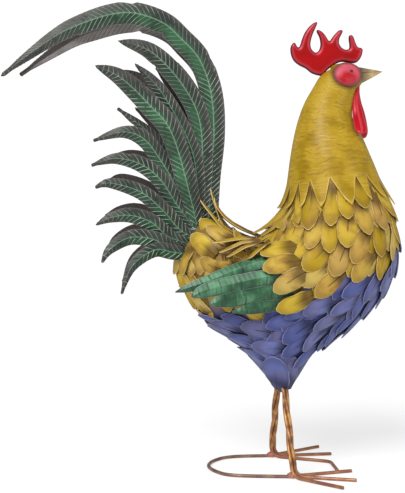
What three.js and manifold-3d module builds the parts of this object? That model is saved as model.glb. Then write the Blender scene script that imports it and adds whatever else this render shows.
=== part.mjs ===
// Garden rooster of painted sheet metal on twisted rod legs.
// Millimetres, +Z up, beak towards +X, the bird's right side towards -Y.
// The origin is on the ground, below the middle of the whole figure.

import * as THREE from 'three';
import { mergeVertices } from 'three/addons/utils/BufferGeometryUtils.js';
import Module from 'manifold-3d';

const wasm = await Module();
wasm.setup();

// Sheet and clearances
const GAP = 0.4;
const SHEET = 1.0;
const FOLDED_SHEET = 1.3;

// Skin of the bird: cross-sections from the crown, down the neck, along the body to the rump.
// back and front are the ends of a section in the XZ plane, half is its half width along Y and
// pear tells how much the front end narrows.
const SECTIONS = [
  { back: [148, 457], front: [183, 452], half: 15, pear: 0 },
  { back: [137, 450], front: [182, 442], half: 18, pear: 0 },
  { back: [128, 436], front: [175, 432], half: 19, pear: 0 },
  { back: [118, 418], front: [171, 413], half: 22, pear: 0 },
  { back: [111, 399], front: [172, 398], half: 27, pear: 0 },
  { back: [106, 379], front: [182, 380], half: 34, pear: 0 },
  { back: [102, 356], front: [191, 359], half: 42, pear: 0 },
  { back: [98, 326], front: [201, 335], half: 48, pear: 0.05 },
  { back: [93, 296], front: [217, 290], half: 60, pear: 0.1 },
  { back: [79, 275], front: [222, 244], half: 70, pear: 0.15 },
  { back: [68, 263], front: [207, 203], half: 76, pear: 0.2 },
  { back: [57, 258], front: [173, 166], half: 77, pear: 0.3 },
  { back: [47, 261], front: [129, 133], half: 74, pear: 0.45 },
  { back: [37, 267], front: [93, 91], half: 68, pear: 0.5 },
  { back: [28, 274], front: [50, 138], half: 58, pear: 0.4 },
  { back: [19, 282], front: [5, 172], half: 45, pear: 0.2 },
  { back: [9, 286], front: [-18, 210], half: 30, pear: 0 },
  { back: [-3, 280], front: [-27, 240], half: 16, pear: 0 },
];
const CROWN = [164, 0, 462.5];
const RUMP_END = [-25, 0, 262];
const COLLAR = 7;
const COLLAR_GAP = 0.02;
const LEG_SECTION = 13;
const LEG_BLUNTNESS = 0.4;
const SKIN_SIDES = 16;
const WEDGE_BOTTOM = 97;

// Head
const FACE = { x: 164.5, z: 449, y: 12, long: 15.8, tall: 13.4, deep: 6.5 };
const COMB_THICKNESS = 9;
const COMB_START = [131.6, 449.8];
// Each finger of the comb rises over a control point to its tip and falls over another to a notch.
const COMB_FINGERS = [
  { rise: [96, 461], tip: [105.8, 488.4], fall: [108, 485], notch: [109.4, 482.9] },
  { rise: [112, 504], tip: [131.1, 512.2], fall: [114, 485], notch: [130.2, 477.5] },
  { rise: [139, 482], tip: [132.1, 502.8], fall: [141, 499], notch: [145.9, 489.9] },
  { rise: [150, 499], tip: [159.8, 502.8], fall: [149, 484], notch: [166.8, 478.9] },
  { rise: [169, 489], tip: [170.8, 497.2], fall: [172, 483], notch: [183.7, 479.4] },
];
const COMB_FRONT = { control: [184, 465], end: [172, 464] };
const COMB_FOOT = [[156, 462], [142, 453]];
const COMB_STEPS = 4;
const BEAK = { top: [175, 461], low: [177, 441], sideX: 172, sideZ: 451, half: 10, tip: [207, 455.2] };
const WATTLE = { top: [177.5, 437], rear: [172, 404], low: [181, 381], front: [194, 397], y: 5.5, thick: 4 };
const WATTLE_STEPS = 5;

// Feathers of the body
const ROW_COUNT = 13;
const FIRST_BLUE_ROW = 7;
const COLLAR_TIP = 30;
const ROW_PITCH = 29.5;
const FEATHER = {
  length: 50, spacing: 25, notch: 0.2, shoulder: 0.8, tip: 1, gap: 0.05, root: 1.7, lift: 5.9,
};
const TONGUE = {
  length: 50, spacing: 27, notch: 0.36, shoulder: 0.82, tip: 1, gap: 0.05, root: -2.6, lift: 12,
};
const TONGUE_SHEET = 1.6;
// Spacing is measured at this share of a feather's length above its tip.
const SPACING_AT = 0.3;
// Feathers stop before the tail: the last section that they reach at the back and at the belly.
const LAST_SECTION = { back: 14.7, belly: 16.7 };
// Rows that meet the legs are parted there into a right and a left half.
const PARTED_ROWS = [9, 10];
const PARTED_ANGLE = 0.5;

// Wings
const WING_OFF = 11.5;
const WING_FOLD = 1.9;
const WING_TIP_Y = -75;
const WING_BLADES = [
  { spine: [[72, 242], [40, 233], [8, 221], [-27, 206]], half: 6.4 },
  { spine: [[72, 222], [30, 214], [3, 207], [-12, 200]], half: 7.5 },
  { spine: [[77, 207], [40, 201], [22, 197], [6, 192]], half: 7 },
  { spine: [[78, 192], [60, 189.5], [46, 187], [31, 184]], half: 6 },
];
const WING_STEPS = [0, 0.3, 0.65, 0.88, 1];
const SHOULDER = { count: 4, tipTop: [61, 254], tipLow: [79, 181], rootTop: [98, 264], rootLow: [113, 198] };
const SHOULDER_FEATHER = { notch: 0.3, shoulder: 0.8, tip: 1, gap: 0.04, root: 9.6, lift: 6.4 };

// Tail: spines of the folded feathers from the rump to the tip, inner layer first
const TAIL_ROOT = [0, 265];
const TAIL_STEPS = 8;
const SICKLE_STEPS = 12;
const TIP_CROWDING = 1.5;
// Degrees by which the feathers of the left fan stand higher than those of the right
const SICKLE_RAISE = 3;
const TAIL_RAISE = 6;
const TAIL_FEATHERS = [
  {
    spine: [[-1, 267], [6, 330], [10, 376], [-4, 456], [-30, 499], [-91, 519], [-166, 493], [-227, 446]],
    half: 12,
    steps: SICKLE_STEPS,
    raise: SICKLE_RAISE,
  },
  {
    spine: [[-3, 267], [-1, 307], [-2, 390], [-22, 436], [-58, 474], [-95, 486]],
    half: 11.5,
    raise: SICKLE_RAISE,
  },
  { spine: [[-4, 267], [-6, 324], [-14, 369], [-46, 428], [-76, 460]], half: 9.5 },
  { spine: [[-3, 261], [-20, 301], [-36, 343], [-55, 377], [-96, 410]], half: 9.5 },
  { spine: [[-1, 261], [-28, 318], [-49, 354], [-67, 376], [-90, 383], [-123, 373]], half: 9.5 },
  { spine: [[4, 258], [-28, 300], [-47, 329], [-70, 347], [-98, 353], [-125, 345]], half: 9.5 },
  { spine: [[-3, 261], [-13, 307], [-34, 380], [-59, 412], [-91, 442], [-119, 455]], half: 12 },
  { spine: [[11, 255], [-23, 271], [-44, 294], [-69, 315], [-103, 325], [-120, 320]], half: 9.5 },
  { spine: [[15, 250], [-34, 263], [-57, 281], [-81, 289], [-103, 286], [-119, 278]], half: 9.5 },
  { spine: [[17, 247], [-31, 251], [-55, 262], [-81, 264], [-103, 251], [-112, 236]], half: 9.5 },
  { spine: [[20, 242], [-30, 247], [-54, 250], [-79, 231], [-90, 201]], half: 8.5 },
];
const TAIL_FOLD = 1.8;
// Length over which a feather narrows to its tip, for the tail in mm and for the wing as a share
const TAIL_TAPER = 110;
const WING_TAPER = 0.6;
const TAIL_FIRST_LAYER = 3;
const TAIL_LAYER = 2.5;
const TAIL_FAN = 0.002;
const TAIL_SPLAY = { most: 22, reach: 330, power: 1.6 };
// The left fan is a little shorter and raised
const TAIL_RIGHT = { reach: 1, lifted: 0 };
const TAIL_LEFT = { reach: 0.985, lifted: 1 };

// Legs, toes and the loop behind them
const ROD = 4;
const ROD_SIDES = 6;
const FLOOR = (ROD / 2) * Math.cos(Math.PI / ROD_SIDES);
// Each toe has its turn outwards in degrees and its length; seat is its rod's place at the ankle.
const LEGS = [
  {
    side: 'right', y: -1, topX: 92, ankleX: 99,
    toes: { outer: [45, 70], middle: [15, 67], inner: [-21, 75] },
  },
  {
    side: 'left', y: 1, topX: 88, ankleX: 84,
    toes: { outer: [40, 78], middle: [9, 71], inner: [-27, 0] },
  },
];
const SEATS = { outer: -120, middle: 0, inner: 120 };
const LEG_TOP_Y = 17;
const ANKLE_Y = 55;
const ANKLE_Z = 12;
const TWIST = { top: 2.55, ankle: 3.4, turns: 0.8, steps: 7 };
const TOE_BEND = 7;
const HEEL_TUCK = 1.5;
const BAR = { corner: [150, 22], end: [152, -28.5], bend: 8 };
const LOOP = { sideY: 49, bendX: 36, backX: 7, shoulderX: 15, shoulderY: 29, endGap: 12 };
const LOOP_STEPS = 22;

const PAINT = {
  gold: { color: 0xb4932e, roughness: 0.38, metalness: 0.6 },
  goldFeather: { color: 0xcaaf3f, roughness: 0.4, metalness: 0.6 },
  blueFeather: { color: 0x5b6096, roughness: 0.42, metalness: 0.6 },
  red: { color: 0xac0411, roughness: 0.2, metalness: 0.2 },
  horn: { color: 0x9c8b62, roughness: 0.4, metalness: 0.6 },
  green: { color: 0x3e724d, roughness: 0.4, metalness: 0.6 },
  darkGreen: { color: 0x56735c, roughness: 0.45, metalness: 0.6 },
  copper: { color: 0x946843, roughness: 0.4, metalness: 0.8 },
};

// Splines through the sections; u counts sections from the crown.
const sectionSpline = (pick) => new THREE.SplineCurve(SECTIONS.map((s) => new THREE.Vector2(...pick(s))));
const backLine = sectionSpline((s) => s.back);
const frontLine = sectionSpline((s) => s.front);
const sizeLine = sectionSpline((s) => [s.half, s.pear]);
const LAST = SECTIONS.length - 1;

function skin(u, phi) {
  const t = THREE.MathUtils.clamp(u / LAST, 0, 1);
  const tau = (1 - Math.cos(phi)) / 2;
  const spot = backLine.getPoint(t).lerp(frontLine.getPoint(t), tau);
  const size = sizeLine.getPoint(t);
  const blunt = 1 - LEG_BLUNTNESS * Math.exp(-((u - LEG_SECTION) ** 2));
  const bow = Math.sign(Math.sin(phi)) * Math.abs(Math.sin(phi)) ** blunt;
  return new THREE.Vector3(spot.x, -size.x * bow * (1 - size.y * tau * tau), spot.y);
}

function skinNormal(u, phi) {
  const step = 0.02;
  const alongU = skin(u + step, phi).sub(skin(u - step, phi));
  const alongPhi = skin(u, phi + step).sub(skin(u, phi - step));
  return alongU.cross(alongPhi).normalize();
}

function raised(u, phi, off) {
  return skin(u, phi).addScaledVector(skinNormal(u, phi), off);
}

// Section number u at a distance along the skin below the collar, at a constant phi
const WALK = 0.1;
function sectionAt(distance, phi) {
  const way = distance < 0 ? -1 : 1;
  let left = Math.abs(distance);
  let u = COLLAR;
  let here = skin(u, phi);
  while (u > 0 && u < LAST) {
    const next = skin(u + way * WALK, phi);
    const stride = next.distanceTo(here);
    if (stride >= left) return u + (way * WALK * left) / stride;
    left -= stride;
    here = next;
    u += way * WALK;
  }
  return u;
}

function distanceTo(section, phi) {
  let total = 0;
  for (let u = COLLAR; u < section; u += WALK) {
    total += skin(Math.min(u + WALK, section), phi).distanceTo(skin(u, phi));
  }
  return total;
}

// Section number and angle of a place on the right flank, from its X and Z
function flankPlace(x, z) {
  const offLine = (u) => {
    const back = backLine.getPoint(u / LAST);
    const front = frontLine.getPoint(u / LAST);
    return (front.x - back.x) * (z - back.y) - (front.y - back.y) * (x - back.x);
  };
  let low = COLLAR;
  let high = LAST;
  const start = Math.sign(offLine(low));
  for (let i = 0; i < 40; i++) {
    const middle = (low + high) / 2;
    if (Math.sign(offLine(middle)) === start) low = middle;
    else high = middle;
  }
  const back = backLine.getPoint(low / LAST);
  const front = frontLine.getPoint(low / LAST);
  const across = front.clone().sub(back);
  const tau = new THREE.Vector2(x, z).sub(back).dot(across) / across.lengthSq();
  return { u: low, phi: Math.acos(1 - 2 * THREE.MathUtils.clamp(tau, 0, 1)) };
}

function flank(x, z, off) {
  const { u, phi } = flankPlace(x, z);
  return raised(u, phi, off);
}

// Closed mesh helpers
function closedGeometry(points, triangles) {
  let volume = 0;
  for (const [a, b, c] of triangles) {
    volume += points[a].dot(new THREE.Vector3().crossVectors(points[b], points[c]));
  }
  const faces = volume < 0 ? triangles.map(([a, b, c]) => [a, c, b]) : triangles;
  const geometry = new THREE.BufferGeometry().setFromPoints(points);
  geometry.setIndex(faces.flat());
  geometry.computeVertexNormals();
  return geometry;
}

// Rings of equal length joined in order; a ring of one point closes to that point.
function loft(rings) {
  const points = rings.flat();
  const triangles = [];
  let from = 0;
  const first = rings[0].length;
  for (let i = 1; i + 1 < first; i++) triangles.push([0, i + 1, i]);
  for (let r = 0; r + 1 < rings.length; r++) {
    const a = rings[r].length;
    const b = rings[r + 1].length;
    const to = from + a;
    const sides = Math.max(a, b);
    for (let i = 0; i < sides; i++) {
      const j = (i + 1) % sides;
      if (a > 1) triangles.push([from + i, from + j, to + (b > 1 ? j : 0)]);
      if (b > 1) triangles.push([a > 1 ? from + i : from, to + j, to + i]);
    }
    from = to;
  }
  const last = rings[rings.length - 1].length;
  for (let i = 1; i + 1 < last; i++) triangles.push([from, from + i, from + i + 1]);
  return closedGeometry(points, triangles);
}

function toSolid(geometry) {
  const bare = geometry.clone();
  bare.deleteAttribute('normal');
  bare.deleteAttribute('uv');
  const merged = mergeVertices(bare, 1e-4);
  return new wasm.Manifold(new wasm.Mesh({
    numProp: 3,
    vertProperties: new Float32Array(merged.attributes.position.array),
    triVerts: new Uint32Array(merged.index.array),
  }));
}

// The largest body of a solid as a geometry
function toGeometry(solid) {
  const bodies = solid.decompose().sort((a, b) => b.volume() - a.volume());
  const mesh = bodies[0].getMesh();
  const geometry = new THREE.BufferGeometry();
  const positions = [];
  for (let i = 0; i < mesh.numVert; i++) {
    positions.push(...mesh.vertProperties.slice(i * mesh.numProp, i * mesh.numProp + 3));
  }
  geometry.setAttribute('position', new THREE.Float32BufferAttribute(positions, 3));
  geometry.setIndex(Array.from(mesh.triVerts));
  geometry.computeVertexNormals();
  return geometry;
}

function cut(geometry, ...tools) {
  return toGeometry(tools.reduce((solid, tool) => solid.subtract(tool), toSolid(geometry)));
}

function mirrored(geometry) {
  const copy = geometry.clone();
  copy.applyMatrix4(new THREE.Matrix4().makeScale(1, -1, 1));
  const index = copy.index.array.slice();
  for (let i = 0; i < index.length; i += 3) [index[i], index[i + 1]] = [index[i + 1], index[i]];
  copy.setIndex(Array.from(index));
  return copy;
}

const rooster = new THREE.Group();

function addPiece(name, geometry, paint) {
  const mesh = new THREE.Mesh(geometry, new THREE.MeshStandardMaterial(PAINT[paint]));
  mesh.name = name;
  rooster.add(mesh);
}

// Skin solids
const angles = Array.from({ length: SKIN_SIDES }, (_, i) => (2 * Math.PI * i) / SKIN_SIDES);
const skinRing = (u, off) => angles.map((phi) => raised(u, phi, off));

function neckSolid(off) {
  const rings = [[new THREE.Vector3(...CROWN).add(new THREE.Vector3(0, 0, off))]];
  for (let u = 0; u <= COLLAR; u++) rings.push(skinRing(u, off));
  return toSolid(loft(rings));
}

function bodySolid(off) {
  const rings = [skinRing(COLLAR + COLLAR_GAP, off)];
  for (let u = COLLAR + 1; u <= LAST; u++) {
    rings.push(skinRing(u, off));
    if (Math.abs(u + 0.5 - LEG_SECTION) < 1) rings.push(skinRing(u + 0.5, off));
  }
  rings.push([new THREE.Vector3(...RUMP_END).add(new THREE.Vector3(-off, 0, 0))]);
  return toSolid(loft(rings));
}

function block(low, high) {
  const size = new THREE.Vector3().subVectors(high, low);
  const box = new THREE.BoxGeometry(size.x, size.y, size.z);
  box.translate(...new THREE.Vector3().addVectors(low, high).multiplyScalar(0.5));
  return toSolid(box);
}

// A strip of feathers joined at their roots. place(across, along) gives a point on the lower face
// with across counted in feathers and along from 0 at the root to 1 at the tip; over gives the
// point above it on the upper face.
function featherStrip(count, closed, shape, place, over) {
  const points = [];
  const add = (across, along) => {
    points.push(over(across, along), place(across, along));
    return points.length - 2;
  };
  const edges = closed ? count : count + 1;
  const roots = Array.from({ length: edges }, (_, k) => add(k, 0));
  const notches = Array.from({ length: edges }, (_, k) => add(k, shape.notch));
  const triangles = [];
  const face = (a, b, c) => triangles.push([a, b, c], [a + 1, c + 1, b + 1]);
  const wall = (a, b) => triangles.push([b, a, a + 1], [b, a + 1, b + 1]);
  for (let k = 0; k < count; k++) {
    const n = (k + 1) % edges;
    const left = add(k + shape.gap, shape.shoulder);
    const tip = add(k + 0.5, shape.tip);
    const right = add(k + 1 - shape.gap, shape.shoulder);
    face(roots[k], notches[k], notches[n]);
    face(roots[k], notches[n], roots[n]);
    face(notches[k], left, right);
    face(notches[k], right, notches[n]);
    face(left, tip, right);
    wall(notches[k], left);
    wall(left, tip);
    wall(tip, right);
    wall(right, notches[n]);
    wall(roots[n], roots[k]);
  }
  if (!closed) {
    wall(roots[0], notches[0]);
    wall(notches[count], roots[count]);
  }
  return closedGeometry(points, triangles);
}

// A row of body feathers whose tips lie at one distance below the collar; a parted row gives its
// right half
const RING_SAMPLES = 240;
function featherRow(row, shape, sheet) {
  const tipAt = COLLAR_TIP + row * ROW_PITCH;
  const reach = (phi) => {
    const tau = (1 - Math.cos(phi)) / 2;
    return distanceTo(THREE.MathUtils.lerp(LAST_SECTION.back, LAST_SECTION.belly, tau), phi);
  };
  let start = Math.PI;
  const turn = Math.PI / RING_SAMPLES;
  while (start > turn && reach(start - turn) > tipAt) start -= turn;
  const closed = start <= turn;
  if (closed) start = 0;
  const measureAt = tipAt - shape.length * SPACING_AT;
  const lengths = [0];
  const stops = [start];
  const span = PARTED_ROWS.includes(row) ? Math.PI - PARTED_ANGLE - start : 2 * (Math.PI - start);
  let here = skin(sectionAt(measureAt, start), start);
  for (let i = 1; i <= RING_SAMPLES; i++) {
    const phi = start + (span * i) / RING_SAMPLES;
    const next = skin(sectionAt(measureAt, phi), phi);
    lengths.push(lengths[i - 1] + next.distanceTo(here));
    stops.push(phi);
    here = next;
  }
  const total = lengths[RING_SAMPLES];
  let count = Math.max(2, Math.round(total / shape.spacing));
  if (!closed && count % 2 === row % 2) count += 1;
  const shift = closed && row % 2 ? 0.5 : 0;
  const angleAt = (across) => {
    const wanted = ((((across + shift) / count) % 1) || (across ? 1 : 0)) * total;
    let i = 1;
    while (i < RING_SAMPLES && lengths[i] < wanted) i++;
    const share = (wanted - lengths[i - 1]) / (lengths[i] - lengths[i - 1]);
    return THREE.MathUtils.lerp(stops[i - 1], stops[i], share);
  };
  const at = (across, along, off) => {
    const phi = angleAt(across);
    return raised(sectionAt(tipAt - shape.length * (1 - along), phi), phi, off);
  };
  const height = (along) => shape.root + shape.lift * along;
  return featherStrip(
    count,
    closed,
    shape,
    (across, along) => at(across, along, height(along)),
    (across, along) => at(across, along, height(along) + sheet),
  );
}

// Folded blade: a thin chevron section swept along a spine, closing to a rounded tip.
// Each station gives its centre, its outward normal and its half width; grow leaves room around it.
function foldedBlade(stations, fold, grow = 0) {
  const rings = stations.map(({ centre, out, side, half }) => {
    if (half < GAP) return [centre];
    return [
      centre.clone().addScaledVector(out, fold + grow),
      centre.clone().addScaledVector(side, half + grow),
      centre.clone().addScaledVector(out, fold - FOLDED_SHEET - grow),
      centre.clone().addScaledVector(side, -half - grow),
    ];
  });
  return loft(rings);
}

// Half width along a blade: narrow at the root, then full, drawn out to the tip over the taper's share
function bladeWidth(t, half, taper) {
  const opening = THREE.MathUtils.smoothstep(t, -0.25, 0.3);
  const closing = (1 - Math.max(0, 1 - (1 - t) / taper) ** 3.7) ** 0.9;
  return half * opening * closing;
}

function wingBlade({ spine, half }, grow) {
  const curve = new THREE.SplineCurve(spine.map((p) => new THREE.Vector2(...p)));
  const root = flankPlace(...spine[0]);
  const rootY = raised(root.u, root.phi, WING_OFF).y;
  const rootOut = skinNormal(root.u, root.phi);
  const tipOut = new THREE.Vector3(0, -1, 0);
  const stations = WING_STEPS.map((t) => {
    const here = curve.getPoint(t);
    const along = curve.getTangent(t);
    const out = rootOut.clone().lerp(tipOut, t).normalize();
    const side = new THREE.Vector3(along.x, 0, along.y).cross(out).normalize();
    const centre = new THREE.Vector3(here.x, THREE.MathUtils.lerp(rootY, WING_TIP_Y, t), here.y);
    return { centre, out, side, half: bladeWidth(t, half, WING_TAPER) };
  });
  return foldedBlade(stations, WING_FOLD, grow);
}

function shoulderFeathers() {
  const mix = (a, b, t) => [THREE.MathUtils.lerp(a[0], b[0], t), THREE.MathUtils.lerp(a[1], b[1], t)];
  const at = (across, along, off) => {
    const share = across / SHOULDER.count;
    const tip = mix(SHOULDER.tipTop, SHOULDER.tipLow, share);
    const root = mix(SHOULDER.rootTop, SHOULDER.rootLow, share);
    return flank(...mix(root, tip, along), off);
  };
  const height = (along) => SHOULDER_FEATHER.root + SHOULDER_FEATHER.lift * along;
  return featherStrip(
    SHOULDER.count,
    false,
    SHOULDER_FEATHER,
    (across, along) => at(across, along, height(along)),
    (across, along) => at(across, along, height(along) + SHEET),
  );
}

// Distance of a tail feather from the middle plane, the same rule for every layer so that none cross
function tailY(layer, x, z) {
  const far = Math.hypot(x - TAIL_ROOT[0], z - TAIL_ROOT[1]);
  const own = TAIL_FIRST_LAYER + layer * TAIL_LAYER;
  return own * (1 + TAIL_FAN * far) + TAIL_SPLAY.most * (far / TAIL_SPLAY.reach) ** TAIL_SPLAY.power;
}

function tailFeather({ spine, half, steps = TAIL_STEPS, raise = TAIL_RAISE }, layer, { reach, lifted }) {
  const root = new THREE.Vector2(...TAIL_ROOT);
  const turn = THREE.MathUtils.degToRad(-raise * lifted);
  const placed = (p) => new THREE.Vector2(...p).rotateAround(root, turn).sub(root).multiplyScalar(reach).add(root);
  const curve = new THREE.SplineCurve(spine.map(placed));
  const taper = TAIL_TAPER / curve.getLength();
  const stations = Array.from({ length: steps + 1 }, (_, i) => {
    const t = 1 - (1 - i / steps) ** TIP_CROWDING;
    const here = curve.getPoint(t);
    const along = curve.getTangent(t);
    const centre = new THREE.Vector3(here.x, -tailY(layer, here.x, here.y), here.y);
    const out = new THREE.Vector3(0, -1, 0);
    const side = new THREE.Vector3(along.y, 0, -along.x);
    return { centre, out, side, half: bladeWidth(t, half, taper) };
  });
  return foldedBlade(stations, TAIL_FOLD);
}

// A rod along points, six-sided, with one flat side down where it lies on the ground
function rod(points, thickness = ROD) {
  const rings = [];
  let up = new THREE.Vector3(0, 0, 1);
  points.forEach((point, i) => {
    const ahead = points[Math.min(i + 1, points.length - 1)];
    const behind = points[Math.max(i - 1, 0)];
    const along = new THREE.Vector3().subVectors(ahead, behind).normalize();
    up = up.clone().addScaledVector(along, -up.dot(along)).normalize();
    const side = new THREE.Vector3().crossVectors(along, up);
    const ring = [];
    for (let k = 0; k < ROD_SIDES; k++) {
      const turn = (2 * Math.PI * k) / ROD_SIDES;
      const spoke = side.clone().multiplyScalar(Math.cos(turn)).addScaledVector(up, Math.sin(turn));
      ring.push(point.clone().addScaledVector(spoke, thickness / 2));
    }
    rings.push(ring);
  });
  return loft(rings);
}

// Points of one rod of a leg: its toe from the tip, the bend and the twist up to the body
function legPoints(leg, toe) {
  const [turnOut, length] = leg.toes[toe];
  const top = new THREE.Vector3(leg.topX, leg.y * LEG_TOP_Y, WEDGE_BOTTOM + ROD);
  const ankle = new THREE.Vector3(leg.ankleX, leg.y * ANKLE_Y, ANKLE_Z);
  const axis = new THREE.Vector3().subVectors(top, ankle).normalize();
  const ahead = new THREE.Vector3(1, 0, 0).addScaledVector(axis, -axis.x).normalize();
  const aside = new THREE.Vector3().crossVectors(axis, ahead);
  const onLeg = (share) => {
    const turn = leg.y * (share * TWIST.turns * 2 * Math.PI - THREE.MathUtils.degToRad(SEATS[toe]));
    const wide = THREE.MathUtils.lerp(TWIST.ankle, TWIST.top, Math.min(1, share * 2));
    return ankle.clone().lerp(top, share)
      .addScaledVector(ahead, wide * Math.cos(turn))
      .addScaledVector(aside, wide * Math.sin(turn));
  };
  const foot = onLeg(0);
  const heading = THREE.MathUtils.degToRad(turnOut * leg.y);
  const toeWay = new THREE.Vector3(Math.cos(heading), Math.sin(heading), 0);
  const ground = new THREE.Vector3(foot.x, foot.y, FLOOR).addScaledVector(toeWay, TOE_BEND);
  const heel = new THREE.Vector3().lerpVectors(foot, ground, 0.5).addScaledVector(toeWay, -HEEL_TUCK);
  const tip = ground.clone().addScaledVector(toeWay, length - TOE_BEND);
  const points = length > 0 ? [tip] : barPoints();
  points.push(ground.clone().addScaledVector(toeWay, TOE_BEND), ground, heel);
  for (let i = 0; i <= TWIST.steps; i++) points.push(onLeg(i / TWIST.steps));
  return points;
}

// The bar between the feet: the left inner toe turns and runs across to the right foot.
function barPoints() {
  const corner = new THREE.Vector2(...BAR.corner);
  const end = new THREE.Vector2(...BAR.end);
  const ankle = new THREE.Vector2(LEGS[1].ankleX, ANKLE_Y);
  const enter = corner.clone().addScaledVector(end.clone().sub(corner).normalize(), BAR.bend);
  const leave = corner.clone().addScaledVector(ankle.sub(corner).normalize(), BAR.bend);
  const bend = new THREE.QuadraticBezierCurve(enter, corner, leave);
  return [end, ...bend.getPoints(3)].map((p) => new THREE.Vector3(p.x, p.y, FLOOR));
}

function baseLoop() {
  const ends = LEGS.map((leg) => new THREE.Vector2(leg.ankleX - LOOP.endGap, leg.y * ANKLE_Y));
  const path = new THREE.SplineCurve([
    ends[0],
    new THREE.Vector2(LOOP.bendX, -LOOP.sideY),
    new THREE.Vector2(LOOP.shoulderX, -LOOP.shoulderY),
    new THREE.Vector2(LOOP.backX, 0),
    new THREE.Vector2(LOOP.shoulderX, LOOP.shoulderY),
    new THREE.Vector2(LOOP.bendX, LOOP.sideY),
    ends[1],
  ]);
  return rod(path.getPoints(LOOP_STEPS).map((p) => new THREE.Vector3(p.x, p.y, FLOOR)));
}

function combGeometry() {
  const shape = new THREE.Shape();
  shape.moveTo(...COMB_START);
  for (const { rise, tip, fall, notch } of COMB_FINGERS) {
    shape.quadraticCurveTo(...rise, ...tip);
    shape.quadraticCurveTo(...fall, ...notch);
  }
  shape.quadraticCurveTo(...COMB_FRONT.control, ...COMB_FRONT.end);
  for (const spot of COMB_FOOT) shape.lineTo(...spot);
  const plate = new THREE.ExtrudeGeometry(shape, {
    depth: COMB_THICKNESS, bevelEnabled: false, curveSegments: COMB_STEPS,
  });
  plate.translate(0, 0, -COMB_THICKNESS / 2);
  return plate.rotateX(Math.PI / 2);
}

function wattleGeometry(side) {
  const { top, rear, low, front } = WATTLE;
  const shape = new THREE.Shape();
  shape.moveTo(...top);
  shape.bezierCurveTo(...rear, rear[0], low[1], ...low);
  shape.bezierCurveTo(front[0], low[1], ...front, ...top);
  const plate = new THREE.ExtrudeGeometry(shape, {
    depth: WATTLE.thick, bevelEnabled: false, curveSegments: WATTLE_STEPS,
  });
  plate.translate(0, 0, -WATTLE.thick / 2);
  plate.rotateX(Math.PI / 2);
  return plate.translate(0, side * WATTLE.y, 0);
}

function beakGeometry() {
  const base = [
    new THREE.Vector3(BEAK.top[0], 0, BEAK.top[1]),
    new THREE.Vector3(BEAK.sideX, -BEAK.half, BEAK.sideZ),
    new THREE.Vector3(BEAK.low[0], 0, BEAK.low[1]),
    new THREE.Vector3(BEAK.sideX, BEAK.half, BEAK.sideZ),
  ];
  return loft([base, [new THREE.Vector3(BEAK.tip[0], 0, BEAK.tip[1])]]);
}

function faceOval(side) {
  const oval = new THREE.SphereGeometry(1, 8, 5);
  oval.rotateX(Math.PI / 2);
  oval.scale(FACE.long, FACE.deep, FACE.tall);
  return toSolid(oval.translate(FACE.x, side * FACE.y, FACE.z));
}

// Room that a piece leaves around itself for the pieces beside it
const legRuns = LEGS.flatMap((leg) => Object.keys(leg.toes).map((toe) => ({
  name: `leg_rod_${leg.side}_${toe}`,
  points: legPoints(leg, toe),
})));
const legRoom = legRuns.map(({ points }) => toSolid(rod(points, ROD + 2 * GAP)));
const bodyRoom = bodySolid(GAP);
const wingRoom = WING_BLADES.flatMap((blade) => {
  const room = wingBlade(blade, 2 * GAP);
  return [toSolid(room), toSolid(mirrored(room))];
});
const rowRoom = (row, shape, sheet) => {
  const wider = { ...shape, root: shape.root - GAP, gap: shape.gap / 2, tip: 1 + GAP / shape.length };
  const solids = [featherRow(row, shape, sheet), featherRow(row, wider, sheet + 2 * GAP)];
  if (PARTED_ROWS.includes(row)) solids.push(...solids.map(mirrored));
  return solids.map(toSolid).reduce((sum, solid) => sum.add(solid));
};

// Body and head
const below = block(new THREE.Vector3(0, -90, 0), new THREE.Vector3(200, 90, WEDGE_BOTTOM));
const tongueRoom = rowRoom(0, TONGUE, TONGUE_SHEET);
addPiece('body_shell', toGeometry(bodySolid(0).subtract(below).subtract(tongueRoom)), 'gold');
const tongues = toSolid(featherRow(0, TONGUE, TONGUE_SHEET));
const head = neckSolid(0).add(faceOval(-1)).add(faceOval(1));
addPiece('neck_and_head', toGeometry(head.add(tongues)), 'gold');
const headRoom = neckSolid(GAP).add(faceOval(-1)).add(faceOval(1));
addPiece('comb', cut(combGeometry(), headRoom), 'red');
addPiece('beak', cut(beakGeometry(), headRoom), 'horn');
addPiece('wattle_right', cut(wattleGeometry(-1), headRoom), 'red');
addPiece('wattle_left', cut(wattleGeometry(1), headRoom), 'red');

// Feather rows, gold down to the middle of the breast and blue below
let roomAbove = tongueRoom;
for (let row = 1; row <= ROW_COUNT; row++) {
  const name = `feather_row_${String(row).padStart(2, '0')}`;
  const paint = row < FIRST_BLUE_ROW ? 'goldFeather' : 'blueFeather';
  const fit = (feathers) => cut(feathers, bodyRoom, roomAbove, ...legRoom, ...wingRoom);
  const feathers = featherRow(row, FEATHER, SHEET);
  if (PARTED_ROWS.includes(row)) {
    addPiece(`${name}_right`, fit(feathers), paint);
    addPiece(`${name}_left`, fit(mirrored(feathers)), paint);
  } else {
    addPiece(name, fit(feathers), paint);
  }
  roomAbove = rowRoom(row, FEATHER, SHEET);
}

// Wings
const shoulder = shoulderFeathers();
addPiece('shoulder_feathers_right', shoulder, 'goldFeather');
addPiece('shoulder_feathers_left', mirrored(shoulder), 'goldFeather');
WING_BLADES.forEach((blade, i) => {
  const geometry = wingBlade(blade, 0);
  addPiece(`wing_blade_right_${i + 1}`, geometry, 'green');
  addPiece(`wing_blade_left_${i + 1}`, mirrored(geometry), 'green');
});

// Tail
TAIL_FEATHERS.forEach((feather, layer) => {
  const near = tailFeather(feather, layer, TAIL_RIGHT);
  addPiece(`tail_feather_right_${layer + 1}`, cut(near, bodyRoom), 'darkGreen');
  const twin = mirrored(tailFeather(feather, layer, TAIL_LEFT));
  addPiece(`tail_feather_left_${layer + 1}`, cut(twin, bodyRoom), 'darkGreen');
});

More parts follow.
